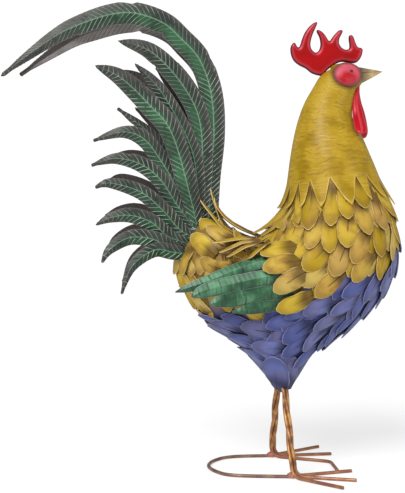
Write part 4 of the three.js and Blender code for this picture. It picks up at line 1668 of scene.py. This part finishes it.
@dataclass
class Wattles:
    """The two red drops that hang under the beak."""

    spine: Line = (
        (178.6, 443.0), (175.6, 424.0), (176.4, 410.0), (177.0, 402.0), (177.4, 396.0), (177.8, 388.0),
        (178.0, 379.5),
    )
    halves: Row = (1.8, 4.1, 5.5, 6.3, 7.0, 7.5, 7.6)
    round_from: float = 0.8
    top_end: float = 0.06
    far_swing: Triple = (8.5, -12.0, 0.0)
    thickness: float = 0.48
    offset: float = 5.5
    lean: float = 27.0
    streak_place: float = 0.1
    highlight_streak_half: float = 0.3
    streak_share: float = 0.6
    edge_power: int = 5
    crease: float = 60.0
    # The wattle enamel's third colour is the pink of its painted highlight.
    finish: RedEnamel = RedEnamel("wattle enamel", paint(190, 14, 34), paint(160, 6, 22),
                                  paint(222, 92, 104))

    def build(self) -> None:
        """Stretch a sphere along the drop's middle line, twice, and dress both."""
        clear_selection()
        bpy.ops.mesh.primitive_uv_sphere_add(segments=24, ring_count=20, radius=1.0)
        piece = take_new("wattle_drop_right")
        places = coordinates(piece)
        share = np.arccos(np.clip(places[:, 2], -1.0, 1.0)) / math.pi
        round_x, round_y = places[:, :2].T / np.maximum(np.sin(share * math.pi), 1e-3)
        line = spline(self.spine, share)
        bottom = np.clip((share - self.round_from) / (1.0 - self.round_from), 0.0, 0.999)
        top = np.clip(share / self.top_end, 0.05, 1.0)
        half = spline([(h,) for h in self.halves], share)[:, 0] * np.sqrt(1.0 - bottom**2) * np.sqrt(top)
        x = line[:, 0] + round_x * half
        y = -self.offset - self.lean * share**2 + round_y * half * self.thickness
        place_vertices(piece, np.stack([x, y, line[:, 1]], axis=-1))
        # painted highlight: a pale streak down the middle of the drop, added to the edge measure so that
        # the enamel's highlight band follows it
        streak = self.streak_share * np.exp(-(((round_x - self.streak_place) / self.highlight_streak_half) ** 2))
        write_attribute(piece, "edge", streak + np.abs(round_x) ** self.edge_power)
        seal(piece, self.crease)
        twin = mirror_piece(piece, "wattle_drop_left")
        places = coordinates(twin) / MM
        hang = (self.spine[0][1] - places[:, 2]) / (self.spine[0][1] - self.spine[-1][1])
        place_vertices(twin, places + hang[:, None] * np.array(self.far_swing))
        finish = self.finish.material()
        publish(piece, Slot.RED_ENAMEL, finish, "wattle_right")
        publish(twin, Slot.RED_ENAMEL, finish, "wattle_left")


@dataclass
class Beak:
    """The beak folded from sheet, with a crease for the mouth."""

    root_x: float = 173.0
    tip: Span = (207.0, 455.2)
    rows: int = 10
    taper_power: float = 0.92
    crease: float = 18.0
    section: Line = (
        (0.0, 461.5), (5.0, 459.5), (8.6, 455.0), (8.0, 452.6), (9.0, 450.0), (6.4, 440.5),
        (0.0, 436.5), (-6.4, 440.5), (-9.0, 450.0), (-8.0, 452.6), (-8.6, 455.0), (-5.0, 459.5),
    )

    def build(self) -> None:
        """Roll a grid round the folded section, draw it to the tip and dress it."""
        piece = add_grid("beak_folded", len(self.section), self.rows)
        across, along = grid_shares(piece)
        edge = interpolate(np.asarray(self.section + self.section[:1]), across)
        size = (1.0 - along)[:, None] ** self.taper_power
        middle = np.array([0.0, self.tip[1]])
        drawn = middle + (edge - middle) * size
        x = self.root_x + (self.tip[0] - self.root_x) * along
        place_vertices(piece, np.stack([x, drawn[:, 0], drawn[:, 1]], axis=-1))
        seal(piece, self.crease)
        publish(piece, Slot.HORN, HornPaint().material(), "beak")


@dataclass
class Blade:
    """A long folded feather with raised cross veins, shaped along a middle line."""

    name: str
    spine: Line
    half: float
    pitch: float
    ridge: float
    fold: float
    shear: float
    taper: float
    root_share: float = 0.43
    full_from: float = 0.3
    sheet: float = 1.0
    blunt: float = 0.2
    closing_power: float = 3.0
    vein_half: float = 0.13
    slant_start: float = 30.0
    slant_end: Span = (45.0, 4.0)
    nicks: Line = ()
    nick_length: float = 0.035
    nick_from: float = 0.6
    stops: Row = (-1.0, -0.84, -0.5, -0.2, -0.05, 0.0, 0.05, 0.2, 0.5, 0.84, 1.0)
    crease: float = 30.0
    table: int = 200
    step: float = 0.004

    def run(self) -> Array:
        """Distances along the middle line at even places."""
        return walked(spline(self.spine, np.linspace(0.0, 1.0, self.table)))

    def width(self, share: Array, across: Array) -> Array:
        """Half width along the blade, full before the middle, drawn to a round tip, with torn nicks.

        Args:
            share: Places, 0 at the root and 1 at the tip.
            across: Places from edge to edge, from -1 to 1.

        Returns:
            One half width for each pair.
        """
        left = (1.0 - share) * self.run()[-1]
        closed = np.clip(1.0 - left / self.taper, 0.0, 1.0) ** self.closing_power
        closing = np.maximum(1.0 - closed, self.blunt)
        tip = np.clip(1.0 - left / (self.blunt * self.half), 0.0, 1.0)
        opening = self.root_share + (1.0 - self.root_share) * smoothstep(0.0, self.full_from, share)
        half = self.half * opening * closing * np.sqrt(np.clip(1.0 - tip**2, 0.02, 1.0))
        for start, depth in self.nicks:
            after = np.clip((share - start) / self.nick_length, 0.0, 1.0)
            torn = (share >= start) & (across * np.sign(depth) > self.nick_from)
            half = half * (1.0 - np.where(torn, abs(depth) * (1.0 - after), 0.0))
        return half

    def build(self, side_place: SidePlace) -> Piece:
        """Shape a grid whose lines run along the veins and close beside them.

        Args:
            side_place: Gives the sideways place and the way out for points of the middle line.

        Returns:
            The sheet, with its thickness.
        """
        run = self.run()
        length, last = run[-1], run[-1] / self.pitch
        veins = np.arange(int(last) + 1)
        lines = np.concatenate([veins - self.vein_half, veins, veins + self.vein_half, [last]])
        beats = np.unique(np.clip(lines, 0.0, last))
        piece = add_grid(self.name, len(self.stops) - 1, len(beats) - 1)
        across, along = grid_shares(piece)
        a, beat = spread(self.stops, across), spread(beats, along)
        edge, place = np.abs(a), beat * self.pitch
        slant = 1.0 - smoothstep(length - self.slant_end[0], length - self.slant_end[1], place)
        slant = self.shear * slant * smoothstep(0.0, self.slant_start, place)
        at = np.interp(np.minimum(place + slant * edge * self.half, length), run,
                       np.linspace(0.0, 1.0, self.table))
        centre = spline(self.spine, at)
        way = spline(self.spine, np.minimum(at + self.step, 1.0))
        way = unit(way - spline(self.spine, np.maximum(at - self.step, 0.0)))
        y, out = side_place(centre, at)
        middle = np.insert(centre, 1, y, axis=1)
        aside = unit(np.cross(np.insert(way, 1, 0.0, axis=1), out))
        crest = (np.abs(beat - np.round(beat)) < 1e-3) & (edge > 0.01)
        rise = self.fold * (1.0 - edge) + self.ridge * crest * smoothstep(1.02, 0.98, edge)
        wide = a * self.width(at, a)
        place_vertices(piece, middle + aside * wide[:, None] + out * rise[:, None])
        write_uv(piece, (a + 1.0) / 2.0, beat)
        write_attribute(piece, "far", at)
        thicken(piece, self.sheet)
        shade(piece, self.crease)
        return piece


@dataclass
class Wing:
    """The four green blades of each wing, each by its middle line and half its width."""

    blades: tuple[tuple[Line, float], ...] = (
        (((92, 246), (40, 230), (8, 217), (-29, 205)), 7.6),
        (((92, 226), (30, 213), (3, 206.5), (-12, 200)), 9.0),
        (((97, 209), (40, 198.5), (22, 195.5), (6, 192)), 8.6),
        (((98, 193), (60, 188), (46, 186), (31, 183.5)), 7.0),
    )
    offset: float = 4.0
    fold: float = 1.9
    tip_y: float = -75.0
    pitch: float = 5.2
    ridge: float = 0.06
    shear: float = 0.25
    taper: float = 72.0
    root_share: float = 0.9
    stagger: float = 1.2

    def side_place(self, number: int, root_place: Span,
                   share: Array) -> Pair:
        """Swing a blade from the skin under its root to the wing's tip.

        Args:
            number: Number of the blade.
            root_place: Its root in the side view.
            share: Places, 0 at the root and 1 at the tip.

        Returns:
            Sideways places and ways out.
        """
        root, root_out = SKIN.flank([root_place])
        start = float((root + root_out * self.offset)[0, 1])
        out = root_out * (1.0 - share)[:, None] + np.array([0.0, Side.RIGHT.value, 0.0]) * share[:, None]
        return start + (self.tip_y - start) * share - self.stagger * number, unit(out)

    def build(self) -> None:
        """Shape each blade from its root under the shoulder feathers, mirror it and dress both."""
        finish = WingPaint().material()
        for number, (line, half) in enumerate(self.blades, 1):
            blade = Blade(f"wing_feather_right_{number}", line, half, self.pitch, self.ridge, self.fold,
                          self.shear, self.taper, self.root_share)
            piece = blade.build(lambda _, share: self.side_place(number, line[0], share))
            twin = mirror_piece(piece, f"wing_feather_left_{number}")
            publish(piece, Slot.WING_GREEN, finish, f"wing_blade_right_{number}")
            publish(twin, Slot.WING_GREEN, finish, f"wing_blade_left_{number}")


@dataclass(frozen=True)
class Plume:
    """One tail feather: its middle line, half its width, how fresh it is, and torn nicks."""

    spine: Line
    half: float
    tone: float
    nicks: Line = ()


@dataclass
class Tail:
    """The fan of folded tail feathers, a pair of long sickles over ten shorter pairs."""

    root: Span = (0.0, 265.0)
    feathers: tuple[Plume, ...] = (
        Plume(((6, 262), (9, 330), (13, 385), (9, 432), (-4, 467), (-25, 490), (-45, 507), (-77, 517.5),
               (-107, 515), (-142, 503), (-166, 491), (-200, 467), (-227, 446)), 13.0, 0.8,
              ((0.475, -0.26), (0.3, 0.25), (0.59, 0.2), (0.75, -0.24))),
        Plume(((-3, 267), (-1, 307), (-2, 390), (-22, 436), (-58, 474), (-95, 486)), 11.8, 0.5,
              ((0.73, -0.25),)),
        Plume(((-4, 267), (-6, 324), (-14, 369), (-46, 428), (-76, 460)), 9.8, 0.3, ((0.9, -0.35),)),
        Plume(((-3, 261), (-20, 301), (-36, 343), (-55, 377), (-96, 410)), 9.8, 0.2, ((0.85, -0.3),)),
        Plume(((-1, 261), (-28, 318), (-49, 354), (-67, 376), (-90, 383), (-123, 373)), 9.8, 0.5),
        Plume(((4, 258), (-28, 300), (-47, 329), (-70, 347), (-98, 353), (-125, 345)), 9.8, 0.3,
              ((0.7, 0.25),)),
        Plume(((-3, 261), (-13, 307), (-34, 380), (-59, 412), (-91, 442), (-119, 455)), 12.2, 1.0,
              ((0.68, 0.25),)),
        Plume(((11, 255), (-23, 271), (-44, 294), (-69, 315), (-103, 325), (-120, 320)), 9.8, 0.4),
        Plume(((15, 250), (-34, 263), (-57, 281), (-81, 289), (-103, 286), (-119, 278)), 9.8, 0.6),
        Plume(((17, 247), (-31, 251), (-55, 262), (-81, 264), (-103, 251), (-112, 236)), 9.8, 0.5),
        Plume(((20, 242), (-30, 247), (-54, 250), (-79, 231), (-90, 201)), 8.8, 0.4),
    )
    first_layer: float = 3.0
    layer: float = 2.5
    fan: float = 0.002
    pinch: float = 0.35
    pinch_reach: Span = (10.0, 75.0)
    splay: Triple = (22.0, 330.0, 1.6)
    left_reach: float = 0.985
    sickles: int = 2
    sickle_raise: float = 3.0
    left_raise: float = 6.0
    fold: float = 1.8
    taper: float = 120.0
    sickle_taper: float = 260.0
    sickle_root: float = 0.85
    pitch: float = 6.2
    ridge: float = 0.5
    shear: float = 0.95

    def raised(self, line: Line, layer: int) -> Line:
        """Shorten a feather a little and turn it up about the root, for the left side.

        Args:
            line: Its middle line on the right side.
            layer: Its layer, 0 in the middle.

        Returns:
            The middle line on the left side.
        """
        x0, z0 = self.root
        moved = []
        for index, (x, z) in enumerate(line):
            share = index / (len(line) - 1)
            turn = math.radians(share * self.sickle_raise if layer < self.sickles else self.left_raise)
            cos, sin = math.cos(turn) * self.left_reach, math.sin(turn) * self.left_reach
            moved.append((x0 + (x - x0) * cos + (z - z0) * sin, z0 + (z - z0) * cos - (x - x0) * sin))
        return tuple(moved)

    def side_place(self, layer: int, side: Side,
                   centre: Array) -> Pair:
        """Spread a feather from the middle plane, by the same rule for every layer so that none cross.

        Args:
            layer: Its layer, 0 in the middle.
            side: Its side.
            centre: Points of its middle line in the side view.

        Returns:
            Sideways places and ways out.
        """
        far = np.hypot(*(centre - np.asarray(self.root)).T)
        own = self.first_layer + layer * self.layer
        own = own * (self.pinch + (1.0 - self.pinch) * smoothstep(*self.pinch_reach, far))
        wide, reach, power = self.splay
        y = own * (1.0 + self.fan * far) + wide * (far / reach) ** power
        return side.value * y, np.tile([0.0, side.value, 0.0], (len(centre), 1))

    def build(self) -> None:
        """Shape each feather of the right fan and of the slightly shorter left fan, and dress them."""
        finish = TailPaint().material()
        for layer, plume in enumerate(self.feathers):
            for side in Side:
                name = f"{side.word}_{layer + 1}"
                spine = plume.spine if side is Side.RIGHT else self.raised(plume.spine, layer)
                blade = Blade(f"tail_plume_{name}", spine, plume.half, self.pitch, self.ridge, self.fold,
                              self.shear, self.taper, nicks=plume.nicks)
                if layer == 0:
                    blade.taper, blade.root_share = self.sickle_taper, self.sickle_root
                piece = blade.build(lambda centre, _: self.side_place(layer, side, centre))
                mark(piece, "tone", plume.tone)
                mark(piece, "outward", side.value)
                face_outwards(piece)
                publish(piece, Slot.TAIL_GREEN, finish, f"tail_feather_{name}")


def sweep_rod(name: str, path: Array, radius: float, around: int = 12,
              ease_share: float = 0.35) -> Piece:
    """Roll a grid into a round rod with eased ends.

    Args:
        name: Name of the piece.
        path: Points of the middle line in millimetres.
        radius: Radius of the rod in millimetres.
        around: Number of faces around.
        ease_share: Size of the eased edge, as a share of the radius.

    Returns:
        The closed rod.
    """
    way = unit(np.gradient(path, axis=0))
    ease = ease_share * radius
    line = np.concatenate([path[:1], path[:1], path[:1] + way[:1] * ease, path[1:-1],
                           path[-1:] - way[-1:] * ease, path[-1:], path[-1:]])
    sizes = np.concatenate([[0.0, radius - ease], np.full(len(line) - 4, radius), [radius - ease, 0.0]])
    way = unit(np.gradient(line, axis=0))
    way[0], way[-1] = way[2], way[-3]
    up = np.array([0.0, 0.0, 1.0]) if abs(way[0, 2]) < 0.9 else np.array([0.0, 1.0, 0.0])
    ups = []
    for direction in way:
        up = unit(up - direction * float(up @ direction))
        ups.append(up)
    up_line = np.array(ups)
    side_line = np.cross(way, up_line)
    piece = add_grid(name, around, len(line) - 1)
    across, along = grid_shares(piece)
    index = np.round(along * (len(line) - 1)).astype(int)
    turn = across * TURN
    spoke = side_line[index] * np.cos(turn)[:, None] + up_line[index] * np.sin(turn)[:, None]
    place_vertices(piece, line[index] + spoke * sizes[index][:, None])
    seal(piece)
    return piece


@dataclass
class Leg:
    """One leg of three twisted rods, each bent into a toe.

    A toe is given by how far it turns out, in degrees, and its length. The rod of a toe without length
    runs on as the bar, by way of its second point to its first.
    """

    side: Side
    top_x: float
    ankle_x: float
    toes: dict[str, Span]
    bar: Line = ()
    bar_bend: float = 8.0
    bar_steps: int = 7
    radius: float = 2.0
    wedge_bottom: float = 97.0
    top_y: float = 17.0
    ankle_y: float = 55.0
    ankle_z: float = 12.0
    twist: Triple = (2.4, 2.55, 0.8)
    climb_steps: int = 30
    bend: float = 7.0
    bend_steps: int = 9
    heel: float = 1.0
    seats: dict[str, float] = field(
        default_factory=lambda: {"outer": -120.0, "middle": 0.0, "inner": 120.0})
    weld_size: Triple = (5.4, 5.0, 3.8)
    weld_back: float = 0.5
    weld_flat: float = 0.95
    weld_crease: float = 60.0
    weld_finish: CopperRod = CopperRod("ankle weld", paint(212, 150, 122), paint(188, 120, 98),
                                       paint(186, 116, 98), paint(136, 82, 66))

    def on_leg(self, toe: str, share: Array) -> Array:
        """Points of one rod where it twists with the other two.

        Args:
            toe: Which rod.
            share: Places, 0 at the ankle and 1 at the body.

        Returns:
            One point for each place.
        """
        hand = self.side.value
        top = np.array([self.top_x, hand * self.top_y, self.wedge_bottom + 2.0 * self.radius])
        ankle = np.array([self.ankle_x, hand * self.ankle_y, self.ankle_z])
        axis = unit(top - ankle)
        ahead = unit(np.array([1.0, 0.0, 0.0]) - axis * axis[0])
        aside = np.cross(axis, ahead)
        top_wide, ankle_wide, turns = self.twist
        turn = hand * (share * turns * TURN - math.radians(self.seats[toe]))
        wide = ankle_wide + (top_wide - ankle_wide) * np.minimum(1.0, share * 2.0)
        centre = ankle + (top - ankle) * share[:, None]
        return centre + ahead * (wide * np.cos(turn))[:, None] + aside * (wide * np.sin(turn))[:, None]

    def path(self, toe: str) -> Array:
        """Middle line of one rod.

        Args:
            toe: Which rod.

        Returns:
            Points from the tip of its toe, or the end of the bar, up to the body.
        """
        turn_out, length = self.toes[toe]
        climb = self.on_leg(toe, np.linspace(0.0, 1.0, self.climb_steps))
        heading = math.radians(turn_out * self.side.value)
        way = np.array([math.cos(heading), math.sin(heading), 0.0])
        foot = np.array([climb[0, 0], climb[0, 1], self.radius])
        flat = foot + way * self.bend + way * self.bend
        if self.bar and length <= 0.0:
            end, corner = (np.array([*point, self.radius]) for point in self.bar)
            leave = corner + unit(flat - corner) * self.bar_bend
            enter = corner + unit(end - corner) * self.bar_bend
            toe_line = [end, *bend(enter, corner, leave, self.bar_steps)]
        else:
            toe_line = [foot + way * length]
        curve = bend(flat, foot - way * self.heel, climb[1], self.bend_steps)
        return np.array([*toe_line, *curve, *climb[2:]])

    def build(self) -> None:
        """Sweep the three rods, add the weld at the ankle and dress them."""
        finish = CopperRod().material()
        for toe in self.toes:
            piece = sweep_rod(f"rod_{self.side.word}_{toe}", self.path(toe), self.radius)
            publish(piece, Slot.COPPER_ROD, finish, f"leg_rod_{self.side.word}_{toe}")
        publish(self.build_weld(), Slot.COPPER_ROD, self.weld_finish.material())

    def build_weld(self) -> Piece:
        """Shape a small ball into the lumpy weld where the rods meet the ground.

        Returns:
            The weld.
        """
        clear_selection()
        bpy.ops.mesh.primitive_ico_sphere_add(subdivisions=3, radius=1.0)
        piece = take_new(f"ankle_weld_{self.side.word}")
        places = coordinates(piece)
        x, y, z = places.T
        lumps = 1.0 + 0.12 * np.sin(x * 5.0 + 1.0) * np.sin(y * 6.0) + 0.1 * np.sin(z * 7.0)
        places = places * lumps[:, None] * np.asarray(self.weld_size)
        height = self.weld_size[2]
        places[:, 2] = np.maximum(places[:, 2], -height * self.weld_flat)
        centre = np.array([self.ankle_x - self.weld_back, self.side.value * self.ankle_y, height])
        place_vertices(piece, places + centre)
        shade(piece, self.weld_crease)
        return piece


@dataclass
class BaseLoop:
    """The rod that runs round behind both feet."""

    radius: float = 2.0
    points: Line = (
        (97, -55), (36, -49), (15, -29), (7, 0), (15, 29), (36, 49), (82, 55),
    )
    steps: int = 60
    finish: CopperRod = CopperRod("loop rod", paint(182, 154, 120), paint(136, 102, 84), paint(128, 94, 82),
                                  paint(84, 62, 54))

    def build(self) -> None:
        """Sweep the loop and dress it."""
        flat = spline(self.points, np.linspace(0.0, 1.0, self.steps))
        piece = sweep_rod("loop_rod", np.insert(flat, 2, self.radius, axis=1), self.radius)
        publish(piece, Slot.COPPER_ROD, self.finish.material(), "base_loop")


@dataclass
class Studio:
    """Pale floor, soft light and the camera of the photograph."""

    camera_place: Triple = (0.0, -1.15, 0.254)
    camera_turn: Triple = (90.0, 0.0, 0.0)
    lens: float = 73.02
    sensor: float = 36.0
    floor_size: float = 60.0
    floor_shade: Colour = (0.4, 0.4, 0.4, 1.0)
    floor_roughness: float = 0.9
    floor_glow: float = 0.6
    white: Colour = (1.0, 1.0, 1.0, 1.0)
    air_light: float = 0.45
    air_seen: float = 1.05
    sun_turn: Triple = (48.0, 0.0, -28.0)
    sun_strength: float = 2.75
    sun_angle: float = 30.0
    fill_place: Triple = (1.5, -1.3, 0.9)
    fill_aim: Triple = (0.02, 0.0, 0.25)
    fill_size: float = 1.2
    fill_power: float = 9.0

    def add_floor(self) -> None:
        """Lay the floor, which glows a little so that shadows on it stay faint."""
        floor = add_grid("studio_floor", 4, 4)
        place_vertices(floor, coordinates(floor) * self.floor_size / 2.0 / MM)
        shader = Shader("pale floor")
        shader.set(Base_Color=self.floor_shade, Roughness=self.floor_roughness)
        shader.set(Emission_Color=self.white, Emission_Strength=self.floor_glow)
        floor.data.materials.append(shader.material)

    def add_lamps(self) -> None:
        """Hang a broad sun from the upper left and a soft fill at the right."""
        sun = bpy.data.lights.new("key_sun", "SUN")
        sun.energy, sun.angle = self.sun_strength, math.radians(self.sun_angle)
        add_object("key_sun", sun).rotation_euler = tuple(map(math.radians, self.sun_turn))
        fill = bpy.data.lights.new("fill_lamp", "AREA")
        fill.shape, fill.size, fill.energy = "DISK", self.fill_size, self.fill_power
        holder = add_object("fill_lamp", fill)
        holder.location = self.fill_place
        aim = np.asarray(self.fill_aim) - np.asarray(self.fill_place)
        tilt = math.atan2(math.hypot(aim[0], aim[1]), -aim[2])
        holder.rotation_euler = (tilt, 0.0, math.atan2(-aim[0], aim[1]))

    def add_air(self) -> bpy.types.World:
        """Make the white air, brighter where the camera sees it than as light.

        Returns:
            The world that holds it.
        """
        world = bpy.data.worlds.new("studio_air")
        world.use_nodes = True
        nodes, links = world.node_tree.nodes, world.node_tree.links
        air = nodes["Background"]
        air.inputs["Color"].default_value = self.white
        ray = nodes.new("ShaderNodeLightPath")
        strength = nodes.new("ShaderNodeMapRange")
        strength.inputs["To Min"].default_value = self.air_light
        strength.inputs["To Max"].default_value = self.air_seen
        links.new(ray.outputs["Is Camera Ray"], strength.inputs["Value"])
        links.new(strength.outputs["Result"], air.inputs["Strength"])
        return world

    def build(self) -> None:
        """Set the floor, light and camera."""
        self.add_floor()
        self.add_lamps()
        scene = bpy.context.scene
        scene.world = self.add_air()
        scene.view_settings.view_transform = "Standard"
        camera = bpy.data.cameras.new("camera")
        camera.lens, camera.sensor_width = self.lens, self.sensor
        scene.camera = add_object("camera", camera)
        scene.camera.location = self.camera_place
        scene.camera.rotation_euler = tuple(map(math.radians, self.camera_turn))


def main() -> None:
    """Build the studio and the rooster, piece by piece."""
    logging.basicConfig(level=logging.INFO, format="%(message)s")
    for part in (Studio, Body, Neck, Comb, Wattles, Beak):
        part().build()
    blank = FeatherBlank()
    blank.build()
    FeatherCoat(blank).build()
    Saddle(blank).build()
    blank.remove()
    Wing().build()
    Tail().build()
    right_toes = {"outer": (45.0, 70.0), "middle": (15.0, 67.0), "inner": (-21.0, 75.0)}
    left_toes = {"outer": (40.0, 83.0), "middle": (9.0, 71.0), "inner": (-27.0, 0.0)}
    Leg(Side.RIGHT, 92.0, 99.0, right_toes).build()
    Leg(Side.LEFT, 88.0, 84.0, left_toes, bar=((152.0, -28.5), (150.0, 22.0))).build()
    BaseLoop().build()


if __name__ == "__main__":
    main()
